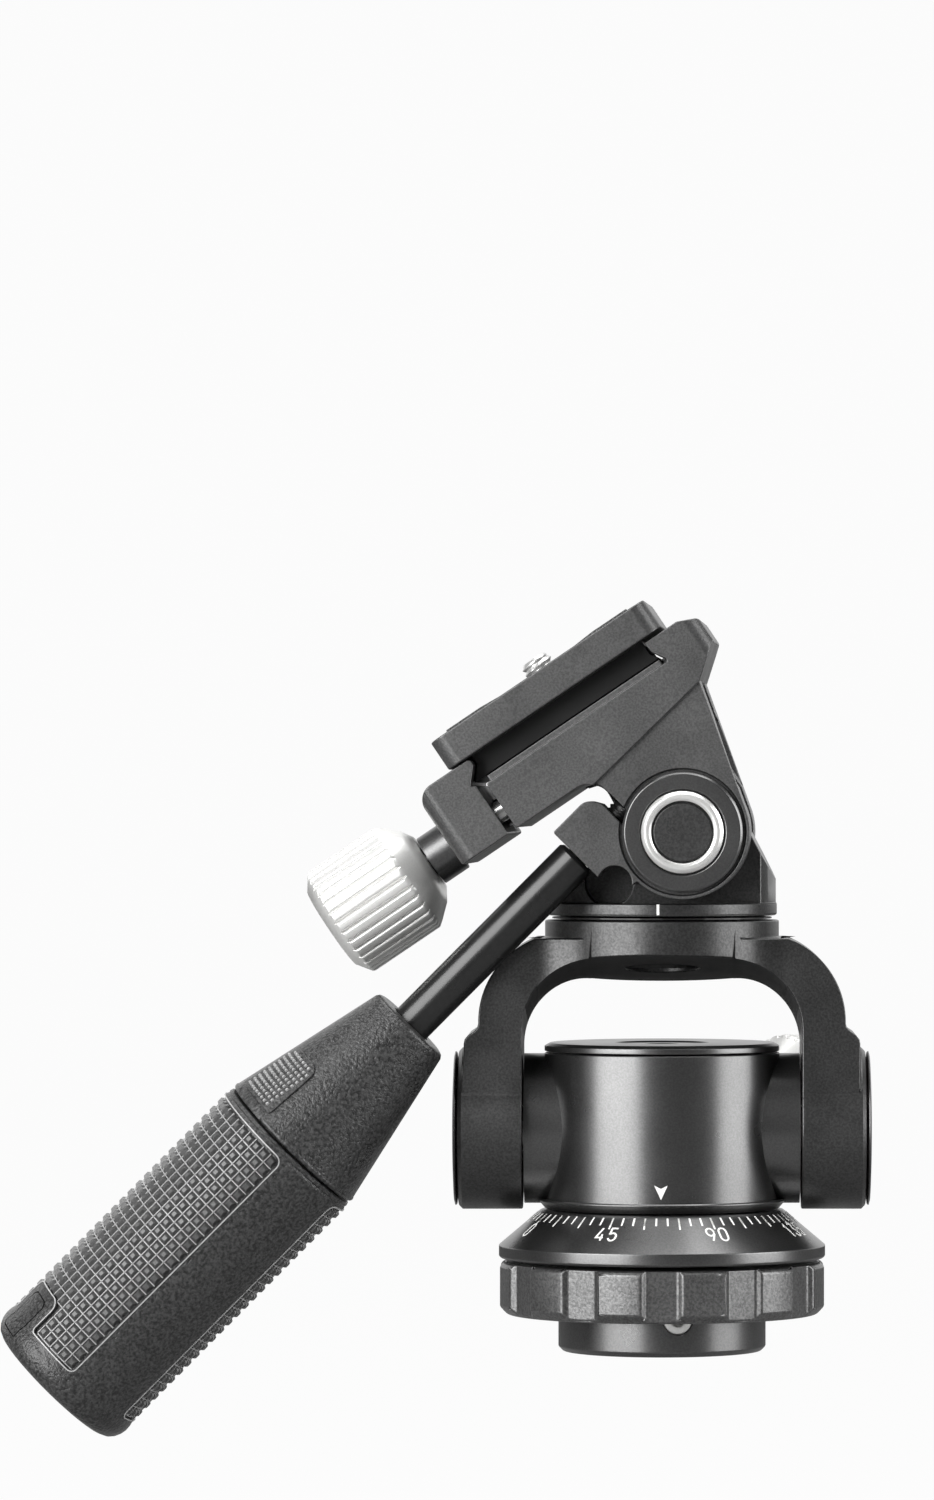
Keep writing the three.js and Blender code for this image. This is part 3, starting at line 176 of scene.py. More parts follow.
def turned(profile, sides=SIDES):
    """A closed solid turned about Z from (radius, height) pairs."""
    bm = bmesh.new()
    turns = circle(sides)
    rings = [
        [bm.verts.new((radius * c, radius * s, height)) for c, s in (turns if radius else [(0, 0)])]
        for radius, height in profile
    ]
    pairs = list(zip(rings, rings[1:]))
    if profile[0][0] != 0:
        pairs.append((rings[-1], rings[0]))
    for lower, upper in pairs:
        if len(lower) == len(upper) == sides:
            walled(bm, lower, upper)
        elif len(lower) == len(upper):
            continue
        elif abs(lower[0].co.z - upper[0].co.z) < 1e-6:
            bm.faces.new(max(lower, upper, key=len))
        else:
            for i in range(sides):
                j = (i + 1) % sides
                if len(lower) == 1:
                    bm.faces.new((lower[0], upper[j], upper[i]))
                else:
                    bm.faces.new((lower[i], lower[j], upper[0]))
    loose = [v for v in bm.verts if not v.link_faces]
    bmesh.ops.delete(bm, geom=loose, context="VERTS")
    return outwards(bm)


def cylinder(radius, low, high, place=BASE, sides=64):
    return moved(turned([(0, low), (radius, low), (radius, high), (0, high)], sides), place)


def outline(corners, steps=8):
    """Points of a closed outline whose corners (x, y, radius) are rounded."""
    points = []
    count = len(corners)
    for i, corner in enumerate(corners):
        here = Vector(corner[:2])
        radius = corner[2] if len(corner) > 2 else 0
        if radius == 0:
            points.append(tuple(here))
            continue
        before = (Vector(corners[i - 1][:2]) - here).normalized()
        after = (Vector(corners[(i + 1) % count][:2]) - here).normalized()
        half = before.angle(after) / 2
        start = here + before * radius / math.tan(half)
        end = here + after * radius / math.tan(half)
        centre = here + (before + after).normalized() * radius / math.sin(half)
        first = math.atan2(*(start - centre).yx)
        sweep = math.atan2(*(end - centre).yx) - first
        sweep = (sweep + math.pi) % (2 * math.pi) - math.pi
        for n in range(steps + 1):
            angle = first + sweep * n / steps
            points.append((centre.x + radius * math.cos(angle), centre.y + radius * math.sin(angle)))
    return points


def arc(x, y, radius, first, last, steps=16):
    """Points on an arc, with its angles in radians."""
    angles = [first + (last - first) * n / steps for n in range(steps + 1)]
    return [(x + radius * math.cos(a), y + radius * math.sin(a)) for a in angles]


def prism(points, low, high, along="Z"):
    """An outline pushed from low to high along Z, or an X and Z outline along Y."""
    bm = bmesh.new()
    place = (lambda a, b, c: (a, b, c)) if along == "Z" else (lambda a, b, c: (a, c, b))
    ends = [[bm.verts.new(place(a, b, c)) for a, b in points] for c in (low, high)]
    for end in ends:
        bm.faces.new(end)
    walled(bm, *ends)
    return outwards(bm)


def slab(left, right, half, low, high, radius=0, steps=8):
    """A block centred on Y, its upright edges rounded."""
    corners = [(left, -half, radius), (right, -half, radius), (right, half, radius), (left, half, radius)]
    return prism(outline(corners, steps), low, high)


def hoop(outer, inner, low, high):
    """A frame between two outlines that have as many points, from low to high along Z."""
    bm = bmesh.new()
    loops = [
        [bm.verts.new((x, y, z)) for x, y in points]
        for points, z in ((outer, low), (outer, high), (inner, high), (inner, low))
    ]
    walled(bm, *loops, loops[0])
    return outwards(bm)


def sliced(bm, step):
    """Cuts a flat solid into strips across X, so that it can be bent."""
    low = min(v.co.x for v in bm.verts)
    high = max(v.co.x for v in bm.verts)
    for n in range(1, math.ceil((high - low) / step)):
        everything = [*bm.verts, *bm.edges, *bm.faces]
        spot = (low + n * step, 0, 0)
        bmesh.ops.bisect_plane(bm, geom=everything, plane_co=spot, plane_no=(1, 0, 0), dist=1e-5)
    return bm


def wrapped(bm, radius, heading, step=1.0, slope=0.0):
    """Bends a flat solid round Z: X runs round, Y along the axis and Z outwards, from a radius."""
    sliced(bm, step)
    for vert in bm.verts:
        around, along, out = vert.co
        angle = heading + around / radius
        reach = radius + out + along * slope
        vert.co = (reach * math.cos(angle), reach * math.sin(angle), along)
    return outwards(bm)


def moved(bm, place):
    bm.transform(place)
    return bm


def temporary(bm):
    mesh = bpy.data.meshes.new("Scratch")
    bm.to_mesh(mesh)
    bm.free()
    obj = bpy.data.objects.new("Scratch", mesh)
    bpy.context.collection.objects.link(obj)
    return obj


def evaluated(obj, *others):
    """What an object's modifiers make of it; it and the others used for it are removed."""
    mesh = bpy.data.meshes.new_from_object(obj.evaluated_get(bpy.context.evaluated_depsgraph_get()))
    result = bmesh.new()
    result.from_mesh(mesh)
    bpy.data.meshes.remove(mesh)
    for used in (obj, *others):
        scratch = used.data
        bpy.data.objects.remove(used)
        bpy.data.meshes.remove(scratch)
    return result


def combined(operation, first, *others):
    """Closed solids joined (UNION), cut (DIFFERENCE) or kept in common (INTERSECT)."""
    base = temporary(first)
    tools = [temporary(other) for other in others]
    for tool in tools:
        modifier = base.modifiers.new("Combine", "BOOLEAN")
        modifier.operation = operation
        modifier.solver = "EXACT"
        modifier.object = tool
    result = evaluated(base, *tools)
    bmesh.ops.remove_doubles(result, verts=result.verts, dist=0.02)
    bmesh.ops.dissolve_limit(result, angle_limit=math.radians(0.2), verts=result.verts, edges=result.edges)
    return result


def joined(first, *others):
    return combined("UNION", first, *others)


def cut(first, *others):
    return combined("DIFFERENCE", first, *others)


def common(first, *others):
    return combined("INTERSECT", first, *others)


def grouped(*solids):
    """Separate solids in one mesh."""
    result = bmesh.new()
    for solid in solids:
        mesh = bpy.data.meshes.new("Scratch")
        solid.to_mesh(mesh)
        solid.free()
        result.from_mesh(mesh)
        bpy.data.meshes.remove(mesh)
    return result


def finished(name, bm, place, finish, body, nodes=(), edge=0.25, limit=30, flat=0):
    """Places a solid, rounds its edges by so many millimetres, and hangs it on its body.

    Where flat is given, only the edges of faces of that area in square millimetres are rounded.
    """
    weight = bm.edges.layers.float.new("bevel_weight_edge")
    hard = [e for e in bm.edges if e.is_manifold and e.calc_face_angle() > math.radians(limit)]
    for rim in hard:
        rounded = edge and max(face.calc_area() for face in rim.link_faces) >= flat
        rim[weight] = 1.0 if rounded else 0.0
        rim.smooth = bool(rounded)
    bm.transform(Matrix.Scale(MM, 4) @ place)
    for face in bm.faces:
        face.smooth = True
    mesh = bpy.data.meshes.new(name)
    bm.to_mesh(mesh)
    bm.free()
    mesh.materials.append(FINISHES[finish])
    obj = bpy.data.objects.new(name, mesh)
    bpy.context.collection.objects.link(obj)
    round_edges(obj, edge)
    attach(obj, body)
    if nodes:
        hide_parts(*nodes)
    return obj


def round_edges(obj, edge):
    if edge:
        bevel = obj.modifiers.new("Edges", "BEVEL")
        bevel.width = edge * MM
        bevel.segments = 3
        bevel.limit_method = "WEIGHT"
        bevel.miter_outer = "MITER_ARC"
        bevel.use_clamp_overlap = False
    shading = obj.modifiers.new("Shading", "WEIGHTED_NORMAL")
    shading.keep_sharp = True
    shading.weight = 80


def threaded(radius, depth, pitch, low, high, sides=48, inner=False):
    """An open wall with a helical thread, and its rings of points; inner makes it a nut's wall.

    The thread runs out over the last half turn at either end.
    """
    rows_per_turn = 8
    rows = max(2, round((high - low) / pitch * rows_per_turn))
    bm = bmesh.new()
    rings = []
    for n in range(rows + 1):
        height = low + (high - low) * n / rows
        fade = min(1, 2 * min(n, rows - n) / rows * (high - low) / pitch)
        ring = []
        for i in range(sides):
            phase = (height / pitch - i / sides) % 1
            reach = abs(2 * phase - 1) * depth * fade
            r = radius - reach if inner else radius - depth + reach
            angle = 2 * math.pi * i / sides
            ring.append(bm.verts.new((r * math.cos(angle), r * math.sin(angle), height)))
        rings.append(ring)
    walled(bm, *rings)
    return bm, rings


def screw(radius, depth, pitch, low, high):
    """A threaded shank with flat ends, the upper one drawn in."""
    tip = 0.3
    bm, rings = threaded(radius, depth, pitch, low, high)
    top = [bm.verts.new(v.co * ((radius - depth - tip) / v.co.xy.length)) for v in rings[-1]]
    for v in top:
        v.co.z = high + tip
    walled(bm, rings[-1], top)
    bm.faces.new(top)
    bm.faces.new(list(reversed(rings[0])))
    return outwards(bm)


# Geometry Nodes: one tree that lays out copies of a small shape
def add(tree, kind, settings=None):
    """Adds a node and sets its properties and inputs.

    An input given a socket is linked to it, and one given a node to that node's first output.
    """
    node = tree.nodes.new(kind)
    for key, value in (settings or {}).items():
        if isinstance(value, bpy.types.Node):
            value = value.outputs[0]
        if isinstance(value, bpy.types.NodeSocket):
            tree.links.new(value, node.inputs[key])
        elif isinstance(key, str) and hasattr(node, key):
            setattr(node, key, value)
        else:
            node.inputs[key].default_value = value
    return node


def pattern_tree():
    """Copies of a shape laid out in rows and columns round Z, each turned outwards and leant."""
    tree = bpy.data.node_groups.new("Pattern round an axis", "GeometryNodeTree")
    for title, kind, value in (
        ("Shape", "Object", None),
        ("Columns", "Int", 12),
        ("Rows", "Int", 1),
        ("First angle", "Float", 0.0),
        ("Step angle", "Float", 0.1),
        ("First height", "Float", 0.0),
        ("Row height", "Float", 1.0),
        ("Radius", "Float", 10.0),
        ("Lean", "Float", 0.0),
        ("Material", "Material", None),
    ):
        socket = tree.interface.new_socket(name=title, in_out="INPUT", socket_type="NodeSocket" + kind)
        if value is not None:
            socket.default_value = value
    tree.interface.new_socket(name="Geometry", in_out="OUTPUT", socket_type="NodeSocketGeometry")
    given = add(tree, "NodeGroupInput").outputs
    columns = given["Columns"]
    count = add(tree, "ShaderNodeMath", {"operation": "MULTIPLY", 0: columns, 1: given["Rows"]})
    points = add(tree, "GeometryNodePoints", {"Count": count})
    index = add(tree, "GeometryNodeInputIndex")
    column = add(tree, "ShaderNodeMath", {"operation": "MODULO", 0: index, 1: columns})
    share = add(tree, "ShaderNodeMath", {"operation": "DIVIDE", 0: index, 1: columns})
    row = add(tree, "ShaderNodeMath", {"operation": "FLOOR", 0: share})
    angle, height = (
        add(tree, "ShaderNodeMath", {"operation": "MULTIPLY_ADD", 0: number, 1: given[step], 2: given[first]})
        for first, number, step in (
            ("First angle", column, "Step angle"),
            ("First height", row, "Row height"),
        )
    )
    waves = (add(tree, "ShaderNodeMath", {"operation": wave, 0: angle}) for wave in ("COSINE", "SINE"))
    x, y = (
        add(tree, "ShaderNodeMath", {"operation": "MULTIPLY", 0: given["Radius"], 1: wave}) for wave in waves
    )
    spot = add(tree, "ShaderNodeCombineXYZ", {"X": x, "Y": y, "Z": height})
    laid = add(tree, "GeometryNodeSetPosition", {"Geometry": points, "Position": spot})
    turn = add(tree, "ShaderNodeCombineXYZ", {"Y": given["Lean"], "Z": angle})
    rotation = add(tree, "FunctionNodeEulerToRotation", {0: turn})
    shape = add(tree, "GeometryNodeObjectInfo", {"Object": given["Shape"]}).outputs["Geometry"]
    copies = add(tree, "GeometryNodeInstanceOnPoints", {
        "Points": laid, "Instance": shape, "Rotation": rotation,
    })
    real = add(tree, "GeometryNodeRealizeInstances", {"Geometry": copies})
    coated = add(tree, "GeometryNodeSetMaterial", {"Geometry": real, "Material": given["Material"]})
    add(tree, "NodeGroupOutput", {0: coated})
    return tree


def pattern(shape, material, **inputs):
    """Runs the pattern tree on a small solid and gives the copies as one bmesh."""
    tree = bpy.data.node_groups.get("Pattern round an axis") or pattern_tree()
    seed = temporary(shape)
    host = temporary(bmesh.new())
    modifier = host.modifiers.new("Pattern", "NODES")
    modifier.node_group = tree
    sockets = {item.name: item.identifier for item in tree.interface.items_tree if item.in_out == "INPUT"}
    modifier[sockets["Shape"]] = seed
    modifier[sockets["Material"]] = material
    for title, value in inputs.items():
        modifier[sockets[title.replace("_", " ").capitalize()]] = value
    return evaluated(host, seed)


# Materials
def new_material(name):
    material = bpy.data.materials.new(name)
    material.use_nodes = True
    material.node_tree.nodes.clear()
    return material, material.node_tree


def grainy(name, base, metallic, roughness, grain_mm, depth_mm, spread=0.06, mottle=0.12, coat=0.0):
    """A surface with a fine grain: it varies the colour and roughness a little and lifts the surface."""
    material, tree = new_material(name)
    place = add(tree, "ShaderNodeTexCoord").outputs["Object"]
    grain = add(tree, "ShaderNodeTexNoise", {
        "Scale": 1000 / grain_mm, "Detail": 2.0, "Roughness": 0.6, "Vector": place,
    }).outputs["Fac"]
    cloud = add(tree, "ShaderNodeTexNoise", {
        "Scale": 90.0, "Detail": 3.0, "Roughness": 0.55, "Vector": place,
    }).outputs["Fac"]
    dark = [c * (1 - mottle) for c in base] + [1]
    light = [min(1, c * (1 + 2 * mottle)) for c in base] + [1]
    specks = add(tree, "ShaderNodeMapRange", {"From Min": 0.36, "From Max": 0.64, "Value": grain})
    tint = add(tree, "ShaderNodeMix", {"data_type": "RGBA", 6: dark, 7: light, 0: specks})
    rough = add(tree, "ShaderNodeMapRange", {
        "From Min": 0.3, "From Max": 0.7, "To Min": roughness - spread, "To Max": roughness + spread,
        "Value": cloud,
    })
    bump = add(tree, "ShaderNodeBump", {"Strength": 1.0, "Distance": depth_mm * MM, "Height": grain})
    shader = add(tree, "ShaderNodeBsdfPrincipled", {
        "Metallic": metallic, "Coat Weight": coat, "Coat Roughness": 0.08, "Base Color": tint.outputs[2],
        "Roughness": rough, "Normal": bump,
    })
    add(tree, "ShaderNodeOutputMaterial", {"Surface": shader})
    return material


FINISHES = {}


def make_finishes(colours):
    """The head's finishes, by name; a grain too fine to show is drawn as coarse as it needs to show."""
    # Black anodised aluminium off the lathe: dark metal with long soft highlights
    FINISHES["black"] = grainy("Black anodised aluminium", colours.black, metallic=0.95, roughness=0.29,
                               grain_mm=0.35, depth_mm=0.0025, spread=0.02, mottle=0.07)
    # Blasted, then anodised aluminium: the same black with a fine, dull grain
    FINISHES["satin"] = grainy("Blasted black aluminium", colours.satin, metallic=0.85, roughness=0.36,
                               grain_mm=0.45, depth_mm=0.02, mottle=0.16)
    # The platform's and plate's finer blast: a shade paler, with an even grain
    FINISHES["blasted"] = grainy("Fine blasted black aluminium", linear("#5c5c5c"), metallic=0.8,
                                 roughness=0.4, grain_mm=0.4, depth_mm=0.015, mottle=0.14)
    # Painted shade for the window's inside and the turntable spindle's head, which face down into shade: dull
    # and near black, with no shine left
    FINISHES["dull_painted_shade"] = grainy("Dull aluminium with painted shade", linear("#161616"), metallic=0.0, roughness=0.9,
                                grain_mm=0.4, depth_mm=0.01, mottle=0.1)
    # The lock ring's coarser blast: paler where its facets catch the light
    FINISHES["ring"] = grainy("Coarse blasted aluminium", linear("#646464"), metallic=0.8, roughness=0.36,
                              grain_mm=0.5, depth_mm=0.03, mottle=0.2)
    # Clear anodised aluminium: bright silver with a soft sheen
    FINISHES["silver"] = grainy("Silver anodised aluminium", colours.silver, metallic=0.6, roughness=0.38,
                                grain_mm=0.3, depth_mm=0.002, mottle=0.02)
    # Polished aluminium of the hub's ring: mirrors the studio in a narrow band
    FINISHES["polished"] = grainy("Polished aluminium", colours.silver, metallic=0.7, roughness=0.3,
                                  grain_mm=0.5, depth_mm=0.0005, spread=0.03, mottle=0.01)
    # Gloss black enamel on the steel rod: deep black with one sharp highlight
    FINISHES["rod"] = grainy("Gloss black enamel", colours.rod, metallic=0.0, roughness=0.28,
                             grain_mm=0.8, depth_mm=0.001, spread=0.03, coat=0.25)
    # Moulded glass filled nylon: a leathery spark grain that breaks up the light
    FINISHES["plastic"] = grainy("Moulded nylon", colours.plastic, metallic=0.0, roughness=0.31,
                                 grain_mm=0.62, depth_mm=0.22, mottle=0.6)
    # Moulded rubber: a little duller than the nylon, with the same spark grain
    FINISHES["rubber"] = grainy("Moulded rubber", colours.rubber, metallic=0.0, roughness=0.33,
                                grain_mm=0.6, depth_mm=0.22, mottle=0.6)
    # Smooth rubber of the studs, painted a little brighter than the grained band as the highlight on their
    # tops
    FINISHES["studs"] = grainy("Smooth rubber", linear("#484848"), metallic=0.0, roughness=0.3,
                               grain_mm=0.9, depth_mm=0.004, mottle=0.1)
    # The raised lines between the studs, painted pale as their highlight where they catch the light
    FINISHES["ridges"] = grainy("Rubber with painted highlight", linear("#a4a4a4"), metallic=0.0, roughness=0.35,
                                grain_mm=0.9, depth_mm=0.004, mottle=0.08)
    # Bright zinc plated steel of the screws and pins
    FINISHES["steel"] = grainy("Zinc plated steel", linear("#d6d6d5"), metallic=0.75, roughness=0.3,
                               grain_mm=0.5, depth_mm=0.002, mottle=0.04)
    # Machined brass of the insert, bushes and brake shoe
    FINISHES["brass"] = grainy("Machined brass", linear("#c8a35a"), metallic=1.0, roughness=0.3,
                               grain_mm=0.5, depth_mm=0.002, mottle=0.05)
    # White acetal of the washer under the drum: plain, slightly waxy plastic
    FINISHES["acetal"] = grainy("White acetal", linear("#e9e7e0"), metallic=0.0, roughness=0.45,
                                grain_mm=0.8, depth_mm=0.004, mottle=0.03)
    # Painted shade: near black for the turntable's washer in its shaded gap and for the plate's tail down in
    # the shaded channel
    FINISHES["black_painted_shade"] = grainy("Near black with painted shade", linear("#0e0e0e"), metallic=0.0, roughness=0.4,
                                     grain_mm=0.8, depth_mm=0.004, mottle=0.05)
    # White enamel that fills the engraved marks: matt and even
    FINISHES["marks"] = grainy("White enamel", colours.marks, metallic=0.0, roughness=0.5,
                               grain_mm=0.5, depth_mm=0.002, mottle=0.02)


# Base
class PANHEAD_OT_base(bpy.types.Operator):
    """Builds the collar with its grub screw and threaded insert"""
    bl_idname = "panhead.base"
    bl_label = "Collar"

    def execute(self, context):
        collar = turned([
            (7, 0), (19.3, 0), (20.2, 0.9), (20.2, 11), (14, 11), (14, 17.5), (4.3, 17.5), (4.3, 14.6),
            (7, 14.6),
        ])
        turn = Matrix.Translation((0, 0, 7.3)) @ Matrix.Rotation(math.radians(8.8), 4, "Z") @ TOWARDS_FRONT
        bored = cut(collar, cylinder(2.9, 0, 21.2, turn))
        finished("base_collar", bored, BASE, "black", "base", ["base_collar"], 0.2)
        grub = turned([
            (0, 7.3), (2.86, 7.3), (2.86, 19.7), (2.7, 20.0), (2.2, 20.25), (1.5, 20.35), (1.3, 20.2),
            (1.3, 18.2), (0, 18.2),
        ], 48)
        finished("collar_grub_screw", grub, turn, "silver", "base", ["collar_grub_screw"], 0.1)
        self.insert()
        return {"FINISHED"}

    def insert(self):
        """The brass insert: a 3/8 inch thread inside, its mouth opened to a cone."""
        outer_radius = 6.7
        mouth_radius = 5.4
        foot = 0.3
        top = 9.4
        sides = 48
        wall, rings = threaded(4.76, 0.6, 1.5875, 0.9, top, sides, inner=True)
        rims = [[wall.verts.new((outer_radius * c, outer_radius * s, z)) for c, s in circle(sides)]
                for z in (top, foot)]
        shares = [(v.co.x / v.co.xy.length, v.co.y / v.co.xy.length) for v in rings[0]]
        mouth = [wall.verts.new((x * mouth_radius, y * mouth_radius, foot)) for x, y in shares]
        walled(wall, rings[-1], *rims, mouth, rings[0])
        finished("thread_insert", outwards(wall), BASE, "brass", "base", ["thread_insert"], 0)


class PANHEAD_OT_lock_ring(bpy.types.Operator):
    """Builds the scalloped ring that locks the pan"""
    bl_idname = "panhead.lock_ring"
    bl_label = "Pan lock ring"

    def execute(self, context):
        scallops = context.scene.panhead_base.ring_scallops
        body = turned([
            (20.5, 7.2), (30.2, 7.2), (31.8, 8.8), (31.8, 16.65), (31.1, 17.35), (14.3, 17.35), (14.3, 11.3),
            (20.5, 11.3),
        ])
        scallop = outline([(30.6, -3), (33, -5.4), (33, 5.4), (30.6, 3)])
        turns = [2 * math.pi * i / scallops - math.pi / 2 for i in range(scallops)]
        ring = cut(body, *(moved(prism(scallop, 6, 18.4), Matrix.Rotation(turn, 4, "Z")) for turn in turns))
        finished("pan_lock_ring", ring, BASE, "ring", "pan_lock", ["pan_lock_ring"], 0.35, 25)
        return {"FINISHED"}


class PANHEAD_OT_scale(bpy.types.Operator):
    """Builds the scale ring with its degree marks and figures"""
    bl_idname = "panhead.scale"
    bl_label = "Degree scale"

    RIM = (31.8, 20.6)
    CROWN = (23.6, 27.5)
    LEAN = math.atan2(CROWN[1] - RIM[1], RIM[0] - CROWN[0])
    MARK_TOP = (24.17, 27.02)
    PRINT = 0.05
    ZERO_HEADING = -67.5

    def execute(self, context):
        sizes = context.scene.panhead_base
        ring = turned([
            (4.3, 17.8), (14.3, 17.8), (14.3, 18.1), (31.4, 18.1), (31.8, 18.5), self.RIM, self.CROWN,
            (16, 27.5), (16, 26.5), (8.5, 26.5), (8.5, 27.5), (4.3, 27.5),
        ])
        finished("scale_ring", ring, BASE, "black", "base", ["scale_ring"], 0.18)
        marks = []
        for step, reach in ((5, sizes.tick_length / MM), (15, sizes.long_tick_length / MM)):
            number = 360 // step
            mark = slab(0, reach, sizes.tick_width / MM / 2, 0.0, self.PRINT)
            marks.append(pattern(
                mark, FINISHES["marks"], columns=number, first_angle=math.radians(self.ZERO_HEADING),
                step_angle=2 * math.pi / number, first_height=self.MARK_TOP[1], radius=self.MARK_TOP[0],
                lean=self.LEAN,
            ))
        for heading in range(0, 360, 45):
            marks.append(self.figure(str(heading), math.radians(heading), sizes.figure_height / MM))
        finished("scale_marks", grouped(*marks), BASE, "marks", "base", edge=0)
        return {"FINISHED"}

    def figure(self, words, angle, height):
        """A number in strokes of one width, bent round the cone and read from outside."""
        width = height * 0.5
        pen = height * 0.05
        advance = width + 3.6 * pen
        strokes = []
        for n, digit in enumerate(words):
            start = (n - (len(words) - 1) / 2) * advance - width / 2 + pen
            for stroke in digit_strokes(digit):
                path = [(start + x * (width - 2 * pen), pen + y * (height - 2 * pen)) for x, y in stroke]
                strokes.append(ribbon(path, pen, self.PRINT))
        bm = grouped(*strokes)
        bottom = 22.85
        sunk = 0.01
        front = math.radians(-90 + self.ZERO_HEADING) + angle
        for vert in bm.verts:
            rise = vert.co.z - sunk
            z = bottom + vert.co.y * math.sin(self.LEAN)
            radius = self.RIM[0] - (z - self.RIM[1]) / math.tan(self.LEAN)
            turn = front + vert.co.x / radius
            radius += rise * math.sin(self.LEAN)
            vert.co = (radius * math.cos(turn), radius * math.sin(turn), z + rise * math.cos(self.LEAN))
        return outwards(bm)


def digit_strokes(digit):
    """The strokes of one figure in a box one wide and one high, its curves as arcs."""
    low = 0.28

    def bow(x, y, wide, tall, first, last):
        turns = [math.radians(first + (last - first) * n / 10) for n in range(11)]
        return [(x + wide * math.cos(a), y + tall * math.sin(a)) for a in turns]

    bowl = bow(0.5, low, 0.5, low, 180, 360)
    crown = bow(0.5, 1 - low, 0.5, low, 0, 180)
    return {
        "0": [bowl + crown + [bowl[0]]],
        "1": [[(0.2, 0.8), (0.62, 1), (0.62, 0)]],
        "2": [[(0, 0.76), *bow(0.5, 0.72, 0.5, 0.28, 170, -28), (0, 0), (1, 0)]],
        "3": [[(0.04, 1), (0.92, 1), (0.46, 0.6), *bow(0.5, 0.3, 0.5, 0.3, 80, -170)]],
        "4": [[(0.62, 1), (0, 0.24), (1, 0.24)], [(0.76, 0.5), (0.76, 0)]],
        "5": [[(0.9, 1), (0.12, 1), (0.08, 0.56), *bow(0.5, 0.31, 0.5, 0.31, 125, -160)]],
        "7": [[(0, 1), (1, 1), (0.36, 0)]],
        "8": [bow(0.5, 0.27, 0.5, 0.27, 90, 450), bow(0.5, 0.76, 0.42, 0.24, -90, 270)],
        "9": [[*bow(0.5, 0.7, 0.5, 0.3, 330, 0), *bow(0.5, 0.7, 0.5, 0.3, 0, 360), (0.96, 0.5), (0.5, 0)]],
    }[digit]


def ribbon(path, half, rise):
    """A flat stroke of even width along a path in the XY plane."""
    closed = math.dist(path[0], path[-1]) < 1e-6
    if closed:
        path = path[:-1]
    count = len(path)
    bm = bmesh.new()
    rings = []
    for i, here in enumerate(path):
        before = path[i - 1] if i or closed else here
        after = path[(i + 1) % count] if i + 1 < count or closed else here
        into = Vector((here[0] - before[0], here[1] - before[1]))
        out = Vector((after[0] - here[0], after[1] - here[1]))
        into = into.normalized() if into.length > 1e-9 else out.normalized()
        out = out.normalized() if out.length > 1e-9 else into
        middle = (into + out).normalized()
        normal = Vector((-middle.y, middle.x))
        reach = half / max(0.5, normal.dot(Vector((-into.y, into.x))))
        rings.append([
            bm.verts.new((here[0] + normal.x * reach * side, here[1] + normal.y * reach * side, z))
            for side, z in ((1, 0), (1, rise), (-1, rise), (-1, 0))
        ])
    if closed:
        rings.append(rings[0])
    else:
        bm.faces.new(rings[0])
        bm.faces.new(reversed(rings[-1]))
    walled(bm, *rings)
    return outwards(bm)


# Drum
class PANHEAD_OT_drum(bpy.types.Operator):
    """Builds the panning drum with its cap and index arrow"""
    bl_idname = "panhead.drum"
    bl_label = "Drum"

    def execute(self, context):
        shell = turned([
            (4.3, 27.8), (22.8, 27.8), (24.1, 29.3), (24.1, 29.5), (23.9, 29.7), (22.9, 29.7), (22.9, 57.9),
            (22.7, 58.1), (10, 58.1), (10, 33), (4.3, 33),
        ])
        squeeze = Matrix.Scale(0.84, 4, (0, 1, 0))
        axle = SWING @ ALONG_X
        drum = cut(
            joined(shell, cylinder(14.6, -26.8, 26.8, SWING @ squeeze @ ALONG_X, SIDES)),
            cylinder(10, 33, 59),
            cylinder(4.8, -28, 28, axle),
            cylinder(7.1, 20.2, 28, axle),
            cylinder(7.1, -28, -20.2, axle),
            cylinder(5.1, 17.7, 28, SIDE_LOCK),
            cylinder(3.3, 0, 28, SIDE_LOCK),
        )
        finished("drum_body", drum, BASE, "black", "drum", ["drum_body"], 0, 35)
        cap = turned([
            (0, 58.4), (7.5, 58.4), (7.5, 55.5), (9.7, 55.5), (9.7, 58.4), (22.9, 58.4), (22.9, 59.4),
            (21.8, 60), (9.2, 60), (8.9, 59.7), (3.4, 59.7), (3.2, 59.5), (3.2, 58.6), (0, 58.6),
        ])
        finished("drum_cap", cap, BASE, "black", "drum", ["drum_cap"], 0.12, 20)
        arrow = prism([(0, 0.7), (1.3, 3.5), (0, 2.85), (-1.3, 3.5)], -22.99, -22.7, "Y")
        turn = Matrix.Rotation(math.radians(-0.5), 4, "Z") @ Matrix.Translation((0, 0, 29.8))
        finished("index_arrow", arrow, turn, "marks", "drum", edge=0)
        return {"FINISHED"}


def fluted_knob(radius, depth, flutes, profile):
    """A knob turned from a profile, with rounded lands between narrow flutes."""
    flank = [(0.05, 0.25), (0.12, 0.72), (0.22, 0.93), (0.36, 1.0)]
    land = [(0.0, 0.0), *flank, *((1 - turn, rise) for turn, rise in reversed(flank))]
    points = []
    for i in range(flutes):
        for turn, rise in land:
            angle = 2 * math.pi * (i + turn) / flutes
            reach = radius - depth + depth * rise
            points.append((reach * math.cos(angle), reach * math.sin(angle)))
    return common(turned(profile), prism(points, profile[0][1] - 1, profile[-1][1] + 1))


